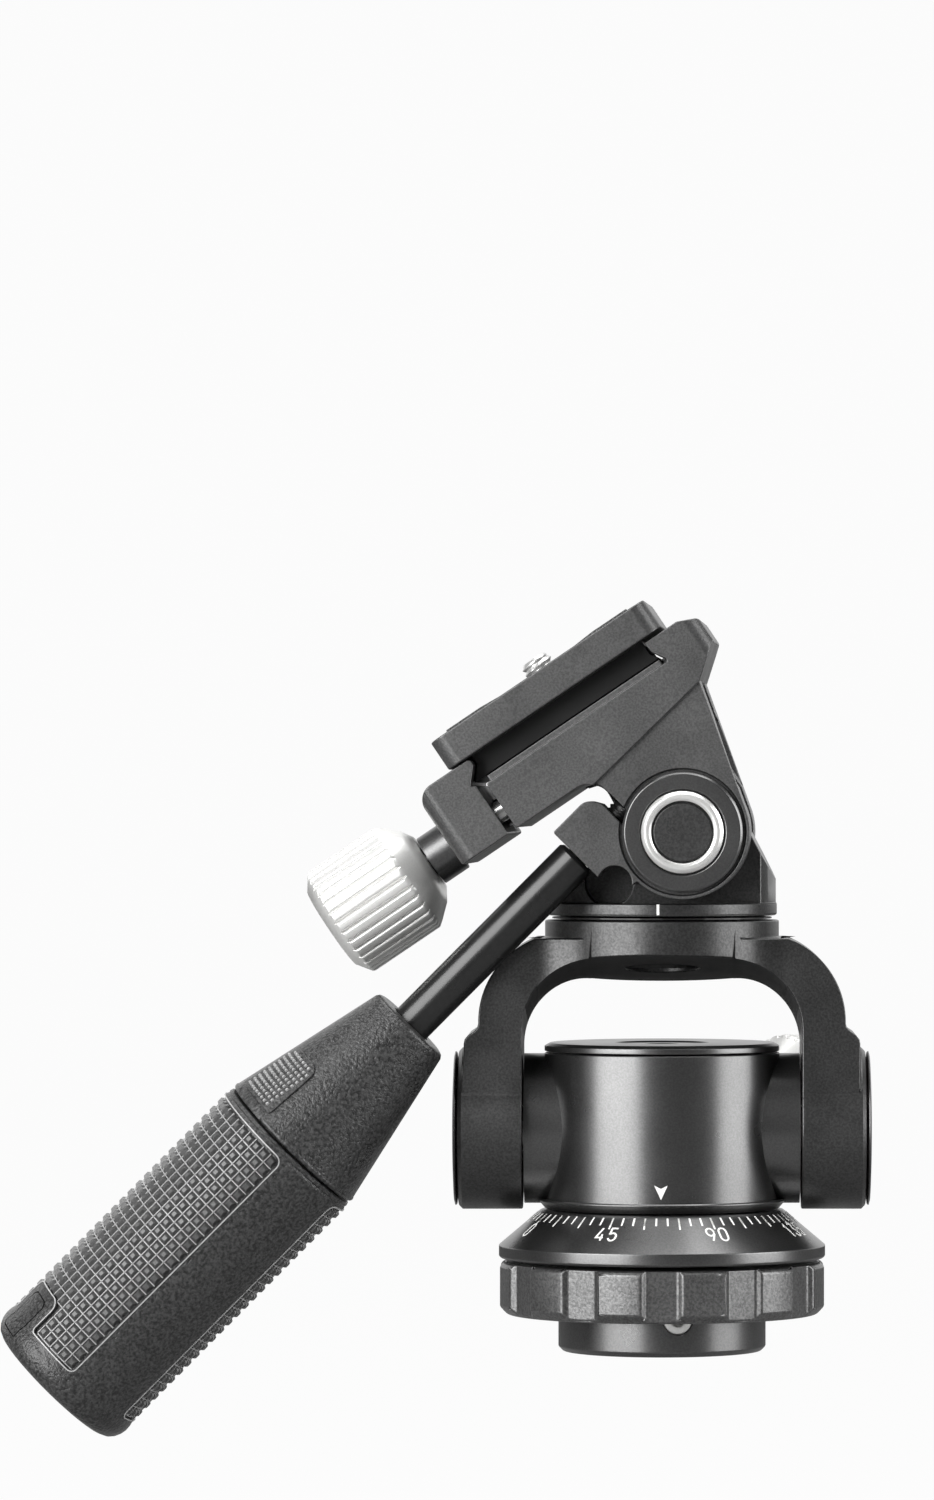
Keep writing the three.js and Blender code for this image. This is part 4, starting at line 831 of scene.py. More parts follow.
class PANHEAD_OT_side_lock(bpy.types.Operator):
    """Builds the small lock knob behind the drum, with its screw"""
    bl_idname = "panhead.side_lock"
    bl_label = "Side tilt lock"

    def execute(self, context):
        knob = fluted_knob(10, 0.7, 26, [
            (0, 33), (6, 33), (9.3, 36.4), (10.4, 37.3), (10.4, 40.6), (8.4, 42), (0, 42),
        ])
        knob = cut(knob, cylinder(3.3, 32, 38.3, sides=32))
        finished("side_lock_knob", knob, SIDE_LOCK, "silver", "side_lock", ["side_lock_knob"], 0.12, 40)
        stem = turned([
            (0, 5.1), (0.8, 5.1), (3, 8.1), (3, 18), (4.8, 18), (4.8, 32.7), (3, 32.7), (3, 38), (0, 38),
        ], 48)
        finished("side_lock_screw", stem, SIDE_LOCK, "black", "side_lock", ["side_lock_screw"], 0.15)
        return {"FINISHED"}


# Fork
class PANHEAD_OT_fork(bpy.types.Operator):
    """Builds the fork that tilts sideways, with its end caps"""
    bl_idname = "panhead.fork"
    bl_label = "Fork"

    DISC = 22.8
    WAIST = 14.5
    HALF = 13.9
    LEAN = math.asin((HALF + WAIST) / (DISC + WAIST))

    def execute(self, context):
        shoulder_x, shoulder_z, shoulder = 35.5, 21.2, 17.1
        top = 37.2
        rise = math.asin((top - shoulder_z) / shoulder)
        right = [
            (38.3, 0), (38.3, 16.9), (38.15, 17.7), (37.5, 18.5), (36.3, 19.3), (35.7, 20.0), (35.5, 20.8),
        ]
        right += arc(shoulder_x - shoulder, shoulder_z, shoulder, 0, rise, 24)
        profile = right + [(-x, z) for x, z in reversed(right)]
        arms = common(prism(profile, -24, 24, "Y"), prism(self.plan(), -1, 38.2))
        bridge = prism(self.disc(), 36.2, 40.6)
        window = prism(outline([
            (-27.1, -17), (27.1, -17), (27.1, 30.8, 13.3), (-27.1, 30.8, 13.3),
        ], 24), -48, 48, "Y")
        moved(window, Matrix.Rotation(math.radians(-7.6), 4, "X"))
        sides = [half_turn(side) @ ALONG_X for side in (-1, 1)]
        boss = [(0, 27.1), (15.75, 27.1), (15.75, 38.8), (14.95, 39.6), (0, 39.6)]
        yoke = cut(
            joined(cut(joined(arms, bridge), window), *(moved(turned(boss), side) for side in sides)),
            cylinder(4.8, -41, 41, ALONG_X), *(cylinder(8.4, 33.5, 41, side) for side in sides),
            cylinder(7.3, 0, 35.1), cylinder(5.3, 0, 42),
        )
        fork = finished("fork_yoke", yoke, SWING, "satin", "fork", ["fork_yoke"], 0.3, 35, 60)
        self.mill_window(fork.data)
        for side, name in zip(sides, ("left_end_cap", "right_end_cap")):
            cover = turned([
                (0, 36.5), (8.1, 36.5), (8.1, 39.9), (14.8, 39.9), (15, 40.1), (15, 40.25),
                (14.2, 40.45), (11, 40.6), (6, 40.68), (0, 40.7),
            ])
            finished(name, cover, SWING @ side, "black", "fork", [name], 0.08, 40)
        return {"FINISHED"}

    def mill_window(self, mesh):
        """The window's ceiling and round corners, which face down between the arms, get the dull near-black
        finish as painted shade.
        """
        mesh.materials.append(FINISHES["dull_painted_shade"])
        arm = 27.5 * MM
        low = (SWING_HEIGHT + 17) * MM
        for face in mesh.polygons:
            if abs(face.center.x) < arm and face.center.z > low and face.normal.z < -0.3:
                face.material_index = 1

    def plan(self):
        """The fork from above: its bridge disc, waisted into the two arms."""
        waist_y = self.HALF + self.WAIST
        waist_x = waist_y / math.tan(self.LEAN)
        waist = arc(waist_x, waist_y, self.WAIST, -math.pi / 2, self.LEAN - math.pi, 16)
        quarter = [(39.6, self.HALF), *waist, *self.disc_top()]
        top = quarter + [(-x, y) for x, y in reversed(quarter[:-1])]
        return top + [(x, -y) for x, y in reversed(top)]

    def disc(self):
        """The bridge's disc, on the points that it shares with the plan."""
        quarter = arc(0, 0, self.DISC, 0, self.LEAN, 24) + self.disc_top()
        top = quarter + [(-x, y) for x, y in reversed(quarter[:-1])]
        return top + [(x, -y) for x, y in reversed(top[1:-1])]

    def disc_top(self):
        return arc(0, 0, self.DISC, self.LEAN, math.pi / 2, 20)[1:]


# Turntable and tilt post
class PANHEAD_OT_post(bpy.types.Operator):
    """Builds the turntable with the post that carries the tilt axle"""
    bl_idname = "panhead.post"
    bl_label = "Tilt post"

    def execute(self, context):
        disc = turned([(0, 84.8), (22.1, 84.8), (22.4, 85.1), (22.4, 87.2), (0, 87.2)])
        profile = [(-22.2, 86.2), (22.2, 86.2), (22.2, 91.8)]
        profile += arc(TILT_X, TILT_HEIGHT, 12.5, 0, math.pi, 40)
        profile += [(-14.2, 94), (-22.2, 90.2)]
        block = common(prism(profile, -10.7, 10.7, "Y"), cylinder(22.2, 84.8, 115, sides=SIDES))
        axis = Matrix.Translation(TILT_AXIS) @ ALONG_Y
        post = cut(
            joined(disc, block, cylinder(7.4, -22.8, 22.8, axis)),
            cylinder(4.3, -24, 24, axis),
            cylinder(4.7, -11.7, -5.7, Matrix.Translation((-9.9, 0, 91.3)) @ ALONG_Y),
            cylinder(5.3, 83, 95.3),
        )
        finished("tilt_post", post, YAW, "satin", "head", ["tilt_post"], 0.22, 35)
        first, last = math.radians(-90.65), math.radians(-89.35)
        line = prism(arc(0, 0, 22.43, first, last, 2) + arc(0, 0, 22.2, last, first, 2), 85.15, 87.2)
        finished("index_line", line, YAW, "marks", "head", edge=0)
        return {"FINISHED"}


class PANHEAD_OT_hub(bpy.types.Operator):
    """Builds the two hub covers, with the bright ring on the front one"""
    bl_idname = "panhead.hub"
    bl_label = "Hub covers"

    def execute(self, context):
        front = TILT @ TOWARDS_FRONT
        finished("hub_cap", self.cover(8.4), front, "black", "head", ["hub_cap"], 0.12)
        ring = turned([(6.0, 24.5), (7.9, 24.5), (7.9, 25.6), (7.2, 26.2), (6.5, 26.2), (6.0, 25.9)])
        finished("hub_ring", ring, front, "polished", "head", ["hub_ring"], 0.1, 20)
        disc = turned([(0, 24.5), (5.65, 24.5), (5.65, 25.5), (5.45, 25.7), (0, 25.7)])
        finished("hub_disc", disc, front, "satin", "head", ["hub_disc"], 0.05, 20)
        finished("rear_hub_cap", self.cover(3.2), TILT @ ALONG_Y, "black", "head", ["rear_hub_cap"], 0.12)
        return {"FINISHED"}

    def cover(self, mouth):
        """A round cover with a recess in its face, chamfered at its mouth."""
        floor = mouth - 0.2
        return turned([
            (0, 23.1), (11.6, 23.1), (11.6, 24.9), (11.1, 25.4), (mouth, 25.4), (floor, 25.2), (floor, 24.2),
            (0, 24.2),
        ])


# Platform bracket
def on_clamp(u, v):
    spot = ALONG * (u + 0.1) + ACROSS * (v + HUB_RADIUS)
    return (spot.x, spot.z)


class PANHEAD_OT_bracket(bpy.types.Operator):
    """Builds the tilting bracket: dovetail body, two cheeks and the split clamp"""
    bl_idname = "panhead.bracket"
    bl_label = "Platform bracket"

    ROOT = -8.6
    FILLET = 3.4

    def execute(self, context):
        plan = prism(outline([
            (-27, -HALF_DEPTH), (25.5, -HALF_DEPTH, 3), (25.5, HALF_DEPTH, 3), (-27, HALF_DEPTH),
        ]), 0, 35.1)
        body = common(self.body(), plan)
        tangent = math.atan2(HEEL[1], HEEL[0]) - math.acos(HUB_RADIUS / math.hypot(*HEEL)) + 2 * math.pi
        edge = on_clamp(4.5, -0.85)
        front_round = arc(0, 0, HUB_RADIUS, math.atan2(edge[1], edge[0]), tangent, 100)
        rear_round = arc(0, 0, HUB_RADIUS, math.radians(145), tangent, 100)
        front = self.cheek(on_clamp(4.5, 1.9), front_round, -24, -11)
        rear = self.cheek((-9.1, HUB_RADIUS), rear_round, 11, 24)
        lug = prism(outline([
            on_clamp(7, -6), on_clamp(7, 1.9), (*on_clamp(8.6, 4.7), 2.8), (*on_clamp(17.5, 4.7), 0.5),
            on_clamp(17.5, -12.4), on_clamp(10, -14),
        ]), -24, -11, "Y")
        slot = prism([
            on_clamp(4.5, 2.1), on_clamp(7, 2.1), on_clamp(7, -12.5), on_clamp(4.5, -12.5),
        ], -25, -10, "Y")
        bite_x, bite_z = on_clamp(16, -10.5)
        turntable = Matrix.Rotation(math.radians(-90), 4, "Y") @ Matrix.Translation(-TILT_AXIS)
        tools = [
            cylinder(3.3, -25, -10, Matrix.Translation((bite_x, 0, bite_z)) @ ALONG_Y),
            cylinder(22.7, 84.2, 87.5, turntable, SIDES),
            cylinder(7.7, -26, 26, ALONG_Y),
            cylinder(12.2, -26, -22.8, ALONG_Y),
            cylinder(12.2, 22.8, 26, ALONG_Y),
            cylinder(3.05, -7.2, 18.5, Matrix.Translation(ROD_FOOT) @ Matrix.Rotation(CLAMP_TURN, 4, "Y")),
            cylinder(3.3, -27, -9.5, screw_line()),
            *(cylinder(2.4, -27, -18, screw_line(y)) for y in (-PIN_OFFSET, PIN_OFFSET)),
        ]
        rail = slab(-25.2, 14.9, 23.6, 28.5, 30, 0.4)
        stop = slab(14.5, 16.4, 19, 28.5, 29.9)
        bracket = cut(joined(body, rail, stop, front, rear, lug), slot, *tools)
        finished("platform_bracket", bracket, PLATFORM, "blasted", "platform", ["platform_bracket"], 0.22, 35)
        self.pins()
        return {"FINISHED"}

    def body(self):
        """The dovetail body seen from the front, pushed through its depth."""
        return prism(outline([
            (-26, UNDERSIDE, 0.5), *arc(-12, 15, self.FILLET, math.pi / 2, math.radians(36.5), 8), HEEL,
            (25.5, 27.4, 0.9), (25.5, 32.4, 1.2), (21.6, 34.1, 0.8), (14.3, 34.1), LIP_TIP, LIP_FOOT,
            (15.9, 28.8), (-26, 28.8, 0.5),
        ]), -HALF_DEPTH, HALF_DEPTH, "Y")

    def cheek(self, corner, round_end, low, high):
        """One cheek from the body down to the hub, whose round it follows to its tangent."""
        left = self.ROOT - 2 * self.FILLET
        return prism(outline([
            (left, UNDERSIDE + self.FILLET), (left, UNDERSIDE), (self.ROOT, UNDERSIDE, self.FILLET), corner,
            *round_end, HEEL, (HEEL[0] - self.FILLET, 22.7),
        ]), low, high, "Y")

    def pins(self):
        """The two guide pins on which the jaw slides."""
        for name, y in (("front_guide_pin", -PIN_OFFSET), ("rear_guide_pin", PIN_OFFSET)):
            pin = turned([(0, -35.6), (1.8, -35.6), (2.1, -35.3), (2.1, -18.6), (1.8, -18.3), (0, -18.3)], 48)
            finished(name, pin, PLATFORM @ screw_line(y), "steel", "platform", [name], 0)


class PANHEAD_OT_jaw(bpy.types.Operator):
    """Builds the moving clamp jaw"""
    bl_idname = "panhead.jaw"
    bl_label = "Clamp jaw"

    def execute(self, context):
        side = prism(outline([
            (JAW_END, UNDERSIDE, 0.5), (-27.9, UNDERSIDE, 0.5), (-27.9, 29.6), HOOK_FOOT, HOOK_TIP,
            (-26.1, 34.2), (-26.6, 34.6), (JAW_END, 34.6, 3.6),
        ], 12), -HALF_DEPTH, HALF_DEPTH, "Y")
        plan = prism(outline([
            (JAW_END, -HALF_DEPTH, 3), (-25.1, -HALF_DEPTH), (-25.1, HALF_DEPTH), (JAW_END, HALF_DEPTH, 3),
        ], 12), 0, 36)
        holes = [cylinder(2.4, -35.9, -25, screw_line(y)) for y in (-PIN_OFFSET, PIN_OFFSET)]
        jaw = cut(common(side, plan), *holes, cylinder(3.3, -40, -25, screw_line()))
        finished("clamp_jaw", jaw, PLATFORM, "blasted", "jaw", ["clamp_jaw"], 0.25, 35)
        return {"FINISHED"}


class PANHEAD_OT_clamp_knob(bpy.types.Operator):
    """Builds the fluted clamp knob on its screw"""
    bl_idname = "panhead.clamp_knob"
    bl_label = "Clamp knob"

    def execute(self, context):
        sizes = context.scene.panhead_knob
        knob = fluted_knob(11.65, sizes.flute_depth / MM, sizes.flutes, [
            (0, 6.2), (5.9, 6.2), (8.4, 7.8), (10.85, 10.6), (11.9, 12.0), (11.9, 26.4), (11.4, 27.3),
            (8.6, 29.3), (0, 29.3),
        ])
        knob = cut(knob, cylinder(3.3, 5, 20.5, sides=32))
        finished("clamp_knob", knob, KNOB, "silver", "knob", ["clamp_knob"], 0.1, 45)
        stem = turned([
            (0, -28.9), (3, -28.9), (3, 0.3), (5.2, 0.3), (5.2, 5.9), (3, 5.9), (3, 20.2), (0, 20.2),
        ], 64)
        finished("clamp_screw", stem, KNOB, "black", "knob", ["clamp_screw"], 0.15)
        return {"FINISHED"}


# Quick release plate
class PANHEAD_OT_plate(bpy.types.Operator):
    """Builds the quick release plate, its pads and its camera screw"""
    bl_idname = "panhead.plate"
    bl_label = "Quick release plate"

    def execute(self, context):
        centre = -6.0
        shift = Matrix.Translation((centre, 0, 0))
        flange = slab(-30.6, 18.6, 26, 34.95, 41.2, 3.2, 12)
        ends = [sorted((centre + side * 7.1, centre + side * 21.2)) for side in (-1, 1)]
        pockets = [slab(low, high, 21.9, 40.3, 42.2) for low, high in ends]
        plate = cut(flange, *pockets, cylinder(3.475, 29, 42, shift))
        finished("quick_plate", plate, PLATFORM, "blasted", "plate", ["quick_plate"], 0.3, 35)
        # The tail is a piece of its own in near black: painted shade in the channel under the plate
        tail = cut(self.tail(), cylinder(3.475, 29, 42, shift), cylinder(8.3, 29, 34, shift))
        finished("plate_tail", tail, PLATFORM, "black_painted_shade", "plate", edge=0.2)
        for side, name in ((-1, "left_pad"), (1, "right_pad")):
            pad = prism([(7.4, 40.6), (20.9, 40.6), (20.9, 41.7), (13, 41.7), (7.4, 41.3)], -21.6, 21.6, "Y")
            finished(name, pad, PLATFORM @ shift @ half_turn(side), "rubber", "plate", [name], 0.2)
        thread = screw(3.175, 0.55, 1.27, 33.7, 44.3)
        head = turned([(0, 30.9), (7.7, 30.9), (8, 31.2), (8, 33.4), (7.7, 33.7), (0, 33.7)], 96)
        stud = joined(cut(head, slab(-7, 7, 0.6, 30, 32.1)), thread)
        finished("camera_screw", stud, PLATFORM @ shift, "steel", "camera_stud", ["camera_screw"], 0)
        return {"FINISHED"}

    def tail(self):
        """The dovetail under the plate, its sides as steep as the jaw's hook and the bracket's lip."""
        left, right, foot, top = -25.65, 13.85, 30.3, 35.9
        hook_slope = (HOOK_TIP[0] - HOOK_FOOT[0]) / (HOOK_TIP[1] - HOOK_FOOT[1])
        lip_slope = (LIP_FOOT[0] - LIP_TIP[0]) / (LIP_TIP[1] - LIP_FOOT[1])
        return prism([
            (left, top), (left, HOOK_TIP[1]), (left - (HOOK_TIP[1] - foot) * hook_slope, foot),
            (right + (LIP_TIP[1] - foot) * lip_slope, foot), (right, LIP_TIP[1]), (right, top),
        ], -19, 19, "Y")


# Handle and grip
class PANHEAD_OT_rod(bpy.types.Operator):
    """Builds the handle's rod with its thread"""
    bl_idname = "panhead.rod"
    bl_label = "Handle rod"

    def execute(self, context):
        shank = turned([
            (0, 17.2), (2.2, 17.2), (2.2, 17.8), (3.45, 17.8), (4.05, 18.4), (4.05, 144), (5.6, 144),
            (5.6, 148), (0, 148),
        ], 96)
        finished("handle_rod", shank, HANDLE, "rod", "handle", ["handle_rod"], 0.1)
        thread = moved(screw(2.75, 0.5, 1, -17.2, 6.3), Matrix.Rotation(math.pi, 4, "X"))
        finished("handle_thread", thread, HANDLE, "black", "handle", edge=0)
        return {"FINISHED"}


class PANHEAD_OT_grip(bpy.types.Operator):
    """Builds the extending grip: cone, studded sleeve and release button"""
    bl_idname = "panhead.grip"
    bl_label = "Grip"

    START = 63.1
    SEAM = 95.7
    TIP = 8.7
    RADIUS = 15.95
    SLOPE = (RADIUS - TIP) / (SEAM - START)
    BUTTON_HEADING = math.radians(48 - 90)
    PANEL_HEADING = math.radians(57 - 90)
    PANEL_HALF_ANGLE = 62
    PANEL_LOW = 98
    PANEL_HIGH = 155
    FIELD_RADIUS = 15.18

    def execute(self, context):
        self.core()
        self.button()
        self.sleeve(context.scene.panhead_grip)
        return {"FINISHED"}

    def cone_radius(self, along):
        return self.TIP + (along - self.START) * self.SLOPE

    def core(self):
        core = turned([
            (4.35, self.START), (7.6, self.START), (8.3, 63.35), (8.75, 64.0), (15.55, 94.6), (15.8, 95.0),
            (15.7, 95.5), (15.3, self.SEAM), (13.2, self.SEAM), (13.2, 156), (6.6, 156), (6.6, 83.1),
            (4.35, 83.1),
        ])
        pocket = self.shield(5.35, 80.65, 93.9, 2.6, -6, 3)
        notch = wrapped(prism([(-5.6, 93.7), (5.6, 93.7), (5.6, 96.5), (-5.6, 96.5)], -0.55, 2),
                        self.RADIUS, self.BUTTON_HEADING)
        core = cut(core, pocket, notch)
        finished("grip_core", core, HANDLE, "plastic", "grip", ["grip_core"], 0.15, 25)

    def shield(self, half, low, high, corner, inner, outer):
        """The button's shape, round at its tip end and wider at its foot, bent round the cone."""
        middle = (low + high) / 2
        shape = prism(outline([
            (-half, low, corner), (half, low, corner), (half + 0.55, high, 0.5), (-half - 0.55, high, 0.5),
        ]), inner, outer)
        radius = self.cone_radius(middle)
        moved(shape, Matrix.Translation((0, -middle, 0)))
        wrapped(shape, radius, self.BUTTON_HEADING, 0.8, self.SLOPE)
        return moved(shape, Matrix.Translation((0, 0, middle)))

    def button(self):
        """The release button: a plain rim round a field of small studs."""
        body = self.shield(4.95, 81.1, 93.5, 2.3, -3.2, 0.3)
        finished("extension_button", body, HANDLE, "plastic", "button", ["extension_button"], 0.18, 25)
        field = []
        pitch = 1.02
        row_height = 1.12
        for row in range(10):
            along = 82.3 + row * row_height
            radius = self.cone_radius(along) + 0.27
            columns = 7 if row == 0 else 9
            # The button's studs take the pale finish: painted highlight on them
            field.append(pattern(
                self.stud(0.72, 0.8, 0.4, 0.5), FINISHES["ridges"], columns=columns,
                first_angle=self.BUTTON_HEADING - (columns - 1) / 2 * pitch / radius,
                step_angle=pitch / radius, first_height=along, radius=radius, lean=math.atan(self.SLOPE),
            ))
        finished("button_studs", grouped(*field), HANDLE, "ridges", "button", edge=0)

    def sleeve(self, sizes):
        """The rubber sleeve: smooth bands between two sunk panels full of small studs."""
        body = turned([
            (13.5, 96), (15.2, 96), (15.6, 96.25), (15.75, 96.8), (15.6, 97.1), (15.75, 97.4), (15.95, 97.9),
            (15.95, 155.8), (16.15, 156.6), (16.2, 157.6), (16.0, 158.7), (15.5, 159.8), (14.8, 160.6),
            (13.8, 161.1), (10, 161.6), (5, 161.9), (0, 162), (0, 159), (13.5, 157.8),
        ])
        pockets, rims, slots, studs, ridges = [], [], [], [], []
        for heading in (self.PANEL_HEADING, self.PANEL_HEADING + math.pi):
            rim = hoop(self.panel_outline(0.24), self.panel_outline(0.02), -0.3, 0.12)
            slot = hoop(self.tab_outline(0.14), self.tab_outline(-0.14), -0.5, 2)
            pockets.append(wrapped(prism(self.panel_outline(0), -0.75, 2), self.RADIUS, heading))
            rims.append(wrapped(rim, self.RADIUS, heading))
            slots.append(wrapped(slot, self.RADIUS, heading))
            studs += self.field(sizes, heading, self.stud, FINISHES["studs"])
            ridges += self.field(sizes, heading, self.ridge, FINISHES["ridges"])
        body = cut(body, *pockets, *slots)
        finished("grip_sleeve", body, HANDLE, "rubber", "grip", ["grip_sleeve"], 0, 35)
        # The panel rims and the lines between the studs take the pale finish: painted highlight
        finished("panel_rims", grouped(*rims), HANDLE, "ridges", "grip", edge=0)
        # The studs are paler than the sleeve: painted highlight on their tops
        finished("grip_studs", grouped(*studs), HANDLE, "studs", "grip", edge=0)
        finished("grip_ridges", grouped(*ridges), HANDLE, "ridges", "grip", edge=0)

    def panel_outline(self, out):
        """A panel laid flat, its foot stepped back round the tab, drawn outwards by so much."""
        side = math.radians(self.PANEL_HALF_ANGLE) * self.RADIUS + out
        low = self.PANEL_LOW - out
        high = self.PANEL_HIGH + out
        tab = 5.5 - out
        step = 147.6 + out
        return outline([
            (-side, low, 1.6 + out), (side, low, 1.6 + out), (side, high, 1.2 + out),
            (tab, high, 0.8 + out), (tab, step, 2.2 - out), (-tab, step, 2.2 - out),
            (-tab, high, 0.8 + out), (-side, high, 1.2 + out),
        ], 6)

    def tab_outline(self, out):
        """The tab at the panel's foot, drawn outwards by so much."""
        half = 3.1 + out
        low = 149.7 - out
        high = 158.6 + out
        return outline([(-half, low, 1.5), (half, low, 1.5), (half, high, 0.5), (-half, high, 0.5)], 6)

    def field(self, sizes, heading, shape, finish):
        """A panel's field of studs, or of the lines between them, cut short in the middle for the tab."""
        columns = sizes.stud_columns
        rows = sizes.stud_rows
        around = math.radians(2 * self.PANEL_HALF_ANGLE - 2.6) / columns
        along = sizes.stud_along / MM
        middle = 6
        side = (columns - middle) // 2
        return [
            pattern(
                shape(around * self.RADIUS, along, sizes.stud_height / MM), finish, columns=across, rows=down,
                first_angle=heading + (first - (columns - 1) / 2) * around, step_angle=around,
                first_height=self.PANEL_LOW + 0.35 + along / 2, row_height=along, radius=self.FIELD_RADIUS,
            )
            for first, across, down in (
                (0, side, rows), (side, middle, rows - 3), (side + middle, side, rows),
            )
        ]

    def stud(self, around, along, height, top_share=0.46):
        """A low pyramid with its top cut off, standing out along X in a cell of the field."""
        bm = bmesh.new()
        levels = []
        for reach, share in ((-0.1, 0.8), (0.06, 0.8), (height, 0.8 * top_share)):
            levels.append([bm.verts.new((reach, y * around / 2 * share, z * along / 2 * share))
                           for y, z in ((-1, -1), (1, -1), (1, 1), (-1, 1))])
        walled(bm, *levels)
        bm.faces.new(levels[-1])
        bm.faces.new(list(reversed(levels[0])))
        return outwards(bm)

    def ridge(self, around, along, height):
        """Two low bars on a cell's edges, which together draw the lines between the studs."""
        bm = bmesh.new()
        section = ((-0.1, -0.14), (0.3, -0.08), (0.3, 0.08), (-0.1, 0.14))
        corner = Vector((0, around / 2, along / 2))
        for way, pitch in ((Vector((0, 1, 0)), around), (Vector((0, 0, 1)), along)):
            side = Vector((1, 0, 0)).cross(way)
            ends = [[bm.verts.new(corner - way * step + Vector((reach, 0, 0)) + side * across)
                     for reach, across in section] for step in (0.1, pitch - 0.1)]
            walled(bm, *ends)
            bm.faces.new(ends[0])
            bm.faces.new(list(reversed(ends[1])))
        return outwards(bm)


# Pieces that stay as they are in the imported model
class PANHEAD_OT_inner_parts(bpy.types.Operator):
    """Gives the spindles, nuts, bushes and washers inside the head their finish, with near-black painted
    shade on the turntable's spindle and washer
    """
    bl_idname = "panhead.inner_parts"
    bl_label = "Inner parts"

    def execute(self, context):
        finishes = {
            "steel": ["pan_spindle", "spindle_washer", "spindle_nut", "fork_axle", "left_axle_nut",
                      "right_axle_nut", "tilt_axle"],
            # The turntable spindle's head is near black too: painted shade, so that it doesn't show against
            # the window's dark ceiling
            "dull_painted_shade": ["turntable_spindle"],
            "brass": ["left_bush", "right_bush", "brake_shoe"],
            "acetal": ["pan_thrust_washer"],
            # The turntable's washer in near black: painted shade in the gap under the turntable
            "black_painted_shade": ["turntable_washer"],
        }
        for finish, names in finishes.items():
            for name in names:
                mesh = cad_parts[name].data
                mesh.materials.clear()
                mesh.materials.append(FINISHES[finish])
        return {"FINISHED"}


# Stage
class PANHEAD_OT_stage(bpy.types.Operator):
    """Sets the pale floor, the studio lamps and the camera"""
    bl_idname = "panhead.stage"
    bl_label = "Stage"

    def execute(self, context):
        scene = context.scene
        scene.view_settings.view_transform = "Standard"
        self.camera(scene)
        self.floor()
        self.world(scene)
        self.lamp("Left softbox", (-0.84, -0.86, 0.3), (1.05, 1.3), 30)
        self.lamp("Right softbox", (1.14, -0.3, 0.25), (0.8, 1.2), 16)
        self.lamp("Overhead softbox", (0.0, 0.1, 1.1), (1.0, 0.8), 11)
        return {"FINISHED"}

    def camera(self, scene):
        """A long lens a little above the tilt axle, as in the photograph."""
        data = bpy.data.cameras.new("Camera")
        data.sensor_fit = "VERTICAL"
        data.sensor_height = 36
        data.lens = 172.3
        data.shift_x = -0.13
        data.shift_y = 0.0273
        data.clip_end = 20
        camera = bpy.data.objects.new("Camera", data)
        camera.location = (0, -1.4, 0.109)
        camera.rotation_euler = (math.radians(90), 0, 0)
        scene.collection.objects.link(camera)
        scene.camera = camera

    def floor(self):
        """A pale sweep in one sheet: floor, curve and wall, below the reach of the slid out grip."""
        bm = bmesh.new()
        low, front, bend, radius, top, half_width = -0.075, -4.0, 2.6, 0.8, 4.0, 4
        curve = [(bend + radius * math.sin(a), low + radius - radius * math.cos(a))
                 for a in (math.radians(10 * i) for i in range(1, 10))]
        path = [(front, low), (bend, low), *curve, (bend + radius, top)]
        rows = [[bm.verts.new((x, y, z)) for x in (-half_width, half_width)] for y, z in path]
        for lower, upper in zip(rows, rows[1:]):
            face = bm.faces.new((lower[0], lower[1], upper[1], upper[0]))
            face.smooth = True
        mesh = bpy.data.meshes.new("floor")
        bm.to_mesh(mesh)
        bm.free()
        floor = bpy.data.objects.new("floor", mesh)
        bpy.context.collection.objects.link(floor)
        material, tree = new_material("Pale floor")
        place = add(tree, "ShaderNodeTexCoord").outputs["Object"]
        noise = add(tree, "ShaderNodeTexNoise", {
            "Scale": 60.0, "Detail": 3.0, "Vector": place,
        }).outputs["Fac"]
        dark, light = (0.24, 0.24, 0.24, 1), (0.28, 0.28, 0.28, 1)
        tint = add(tree, "ShaderNodeMix", {"data_type": "RGBA", 6: dark, 7: light, 0: noise})
        paper = add(tree, "ShaderNodeBsdfDiffuse", {"Color": tint.outputs[2]})
        glow = add(tree, "ShaderNodeEmission", {"Color": (1, 1, 1, 1), "Strength": 1.0})
        rays = add(tree, "ShaderNodeLightPath").outputs
        height = add(tree, "ShaderNodeSeparateXYZ", {"Vector": place}).outputs["Z"]
        wall = add(tree, "ShaderNodeMapRange", {"From Min": -0.02, "From Max": 0.06, "Value": height})
        mirrored = add(tree, "ShaderNodeMath", {
            "operation": "ADD", 0: rays["Is Glossy Ray"], 1: rays["Is Transmission Ray"],
        })
        away = add(tree, "ShaderNodeMath", {"operation": "MULTIPLY", 0: wall, 1: mirrored})
        seen = add(tree, "ShaderNodeMath", {"operation": "MULTIPLY", 0: rays["Is Camera Ray"], 1: 0.965})
        white = add(tree, "ShaderNodeMath", {"operation": "ADD", 0: away, 1: seen})
        mix = add(tree, "ShaderNodeMixShader", {0: white, 1: paper, 2: glow})
        add(tree, "ShaderNodeOutputMaterial", {"Surface": mix})
        mesh.materials.append(material)

    def world(self, scene):
        world = bpy.data.worlds.new("Studio")
        scene.world = world
        world.use_nodes = True
        tree = world.node_tree
        tree.nodes.clear()
        rays = add(tree, "ShaderNodeLightPath").outputs
        place = add(tree, "ShaderNodeTexCoord").outputs["Generated"]
        way = add(tree, "ShaderNodeSeparateXYZ", {"Vector": place}).outputs["Y"]
        level = add(tree, "ShaderNodeMapRange", {
            "From Min": -1.0, "From Max": 0.3, "To Min": 0.12, "To Max": 0.2, "Value": way,
        })
        fill = add(tree, "ShaderNodeBackground", {"Color": (1, 1, 1, 1), "Strength": level})
        white = add(tree, "ShaderNodeBackground", {"Color": (1, 1, 1, 1), "Strength": 1.0})
        mix = add(tree, "ShaderNodeMixShader", {0: rays["Is Camera Ray"], 1: fill, 2: white})
        add(tree, "ShaderNodeOutputWorld", {"Surface": mix})

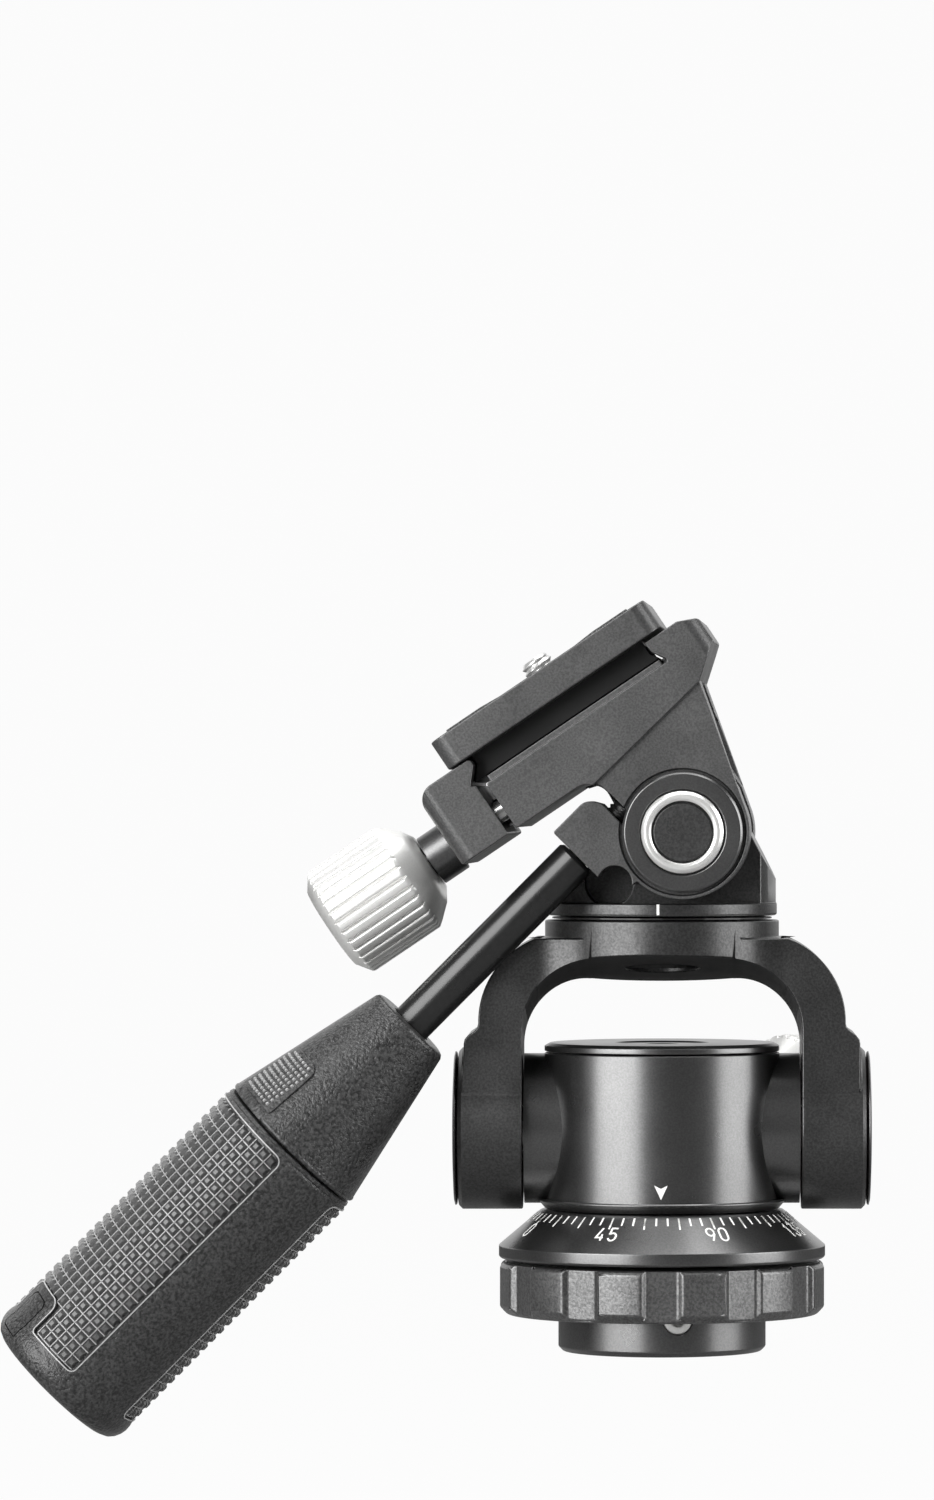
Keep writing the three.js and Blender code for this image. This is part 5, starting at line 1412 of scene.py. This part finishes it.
    def lamp(self, name, place, size, power):
        data = bpy.data.lights.new(name, "AREA")
        data.shape = "RECTANGLE"
        data.size, data.size_y = size
        data.energy = power
        lamp = bpy.data.objects.new(name, data)
        lamp.location = place
        aim = Vector((0, 0, 0.07)) - Vector(place)
        lamp.rotation_euler = aim.to_track_quat("-Z", "Y").to_euler()
        bpy.context.scene.collection.objects.link(lamp)


class PANHEAD_PT_panel(bpy.types.Panel):
    """Lists the pieces of the head and their sizes"""
    bl_label = "Pan and tilt head"
    bl_idname = "PANHEAD_PT_panel"
    bl_space_type = "VIEW_3D"
    bl_region_type = "UI"
    bl_category = "Pan head"

    def draw(self, context):
        for group in (context.scene.panhead_base, context.scene.panhead_knob, context.scene.panhead_grip,
                      context.scene.panhead_colours):
            box = self.layout.box()
            for name in group.__annotations__:
                box.prop(group, name)
        for operator in OPERATORS:
            self.layout.operator(operator.bl_idname)


GROUPS = {
    "panhead_base": BaseSizes,
    "panhead_knob": KnobSizes,
    "panhead_grip": GripSizes,
    "panhead_colours": HeadColours,
}
OPERATORS = [
    PANHEAD_OT_stage, PANHEAD_OT_base, PANHEAD_OT_lock_ring, PANHEAD_OT_scale, PANHEAD_OT_drum,
    PANHEAD_OT_side_lock, PANHEAD_OT_fork, PANHEAD_OT_post, PANHEAD_OT_hub, PANHEAD_OT_bracket,
    PANHEAD_OT_jaw, PANHEAD_OT_clamp_knob, PANHEAD_OT_plate, PANHEAD_OT_rod, PANHEAD_OT_grip,
    PANHEAD_OT_inner_parts,
]


def register():
    for cls in [*GROUPS.values(), *OPERATORS, PANHEAD_PT_panel]:
        bpy.utils.register_class(cls)
    for name, cls in GROUPS.items():
        setattr(bpy.types.Scene, name, PointerProperty(type=cls))


def unregister():
    for name in GROUPS:
        delattr(bpy.types.Scene, name)
    for cls in [PANHEAD_PT_panel, *reversed(OPERATORS), *GROUPS.values()]:
        bpy.utils.unregister_class(cls)


def main():
    register()
    make_finishes(bpy.context.scene.panhead_colours)
    bpy.ops.panhead.stage()
    bpy.ops.panhead.base()
    bpy.ops.panhead.lock_ring()
    bpy.ops.panhead.scale()
    bpy.ops.panhead.drum()
    bpy.ops.panhead.side_lock()
    bpy.ops.panhead.fork()
    bpy.ops.panhead.post()
    bpy.ops.panhead.hub()
    bpy.ops.panhead.bracket()
    bpy.ops.panhead.jaw()
    bpy.ops.panhead.clamp_knob()
    bpy.ops.panhead.plate()
    bpy.ops.panhead.rod()
    bpy.ops.panhead.grip()
    bpy.ops.panhead.inner_parts()


if __name__ == "__main__":
    main()
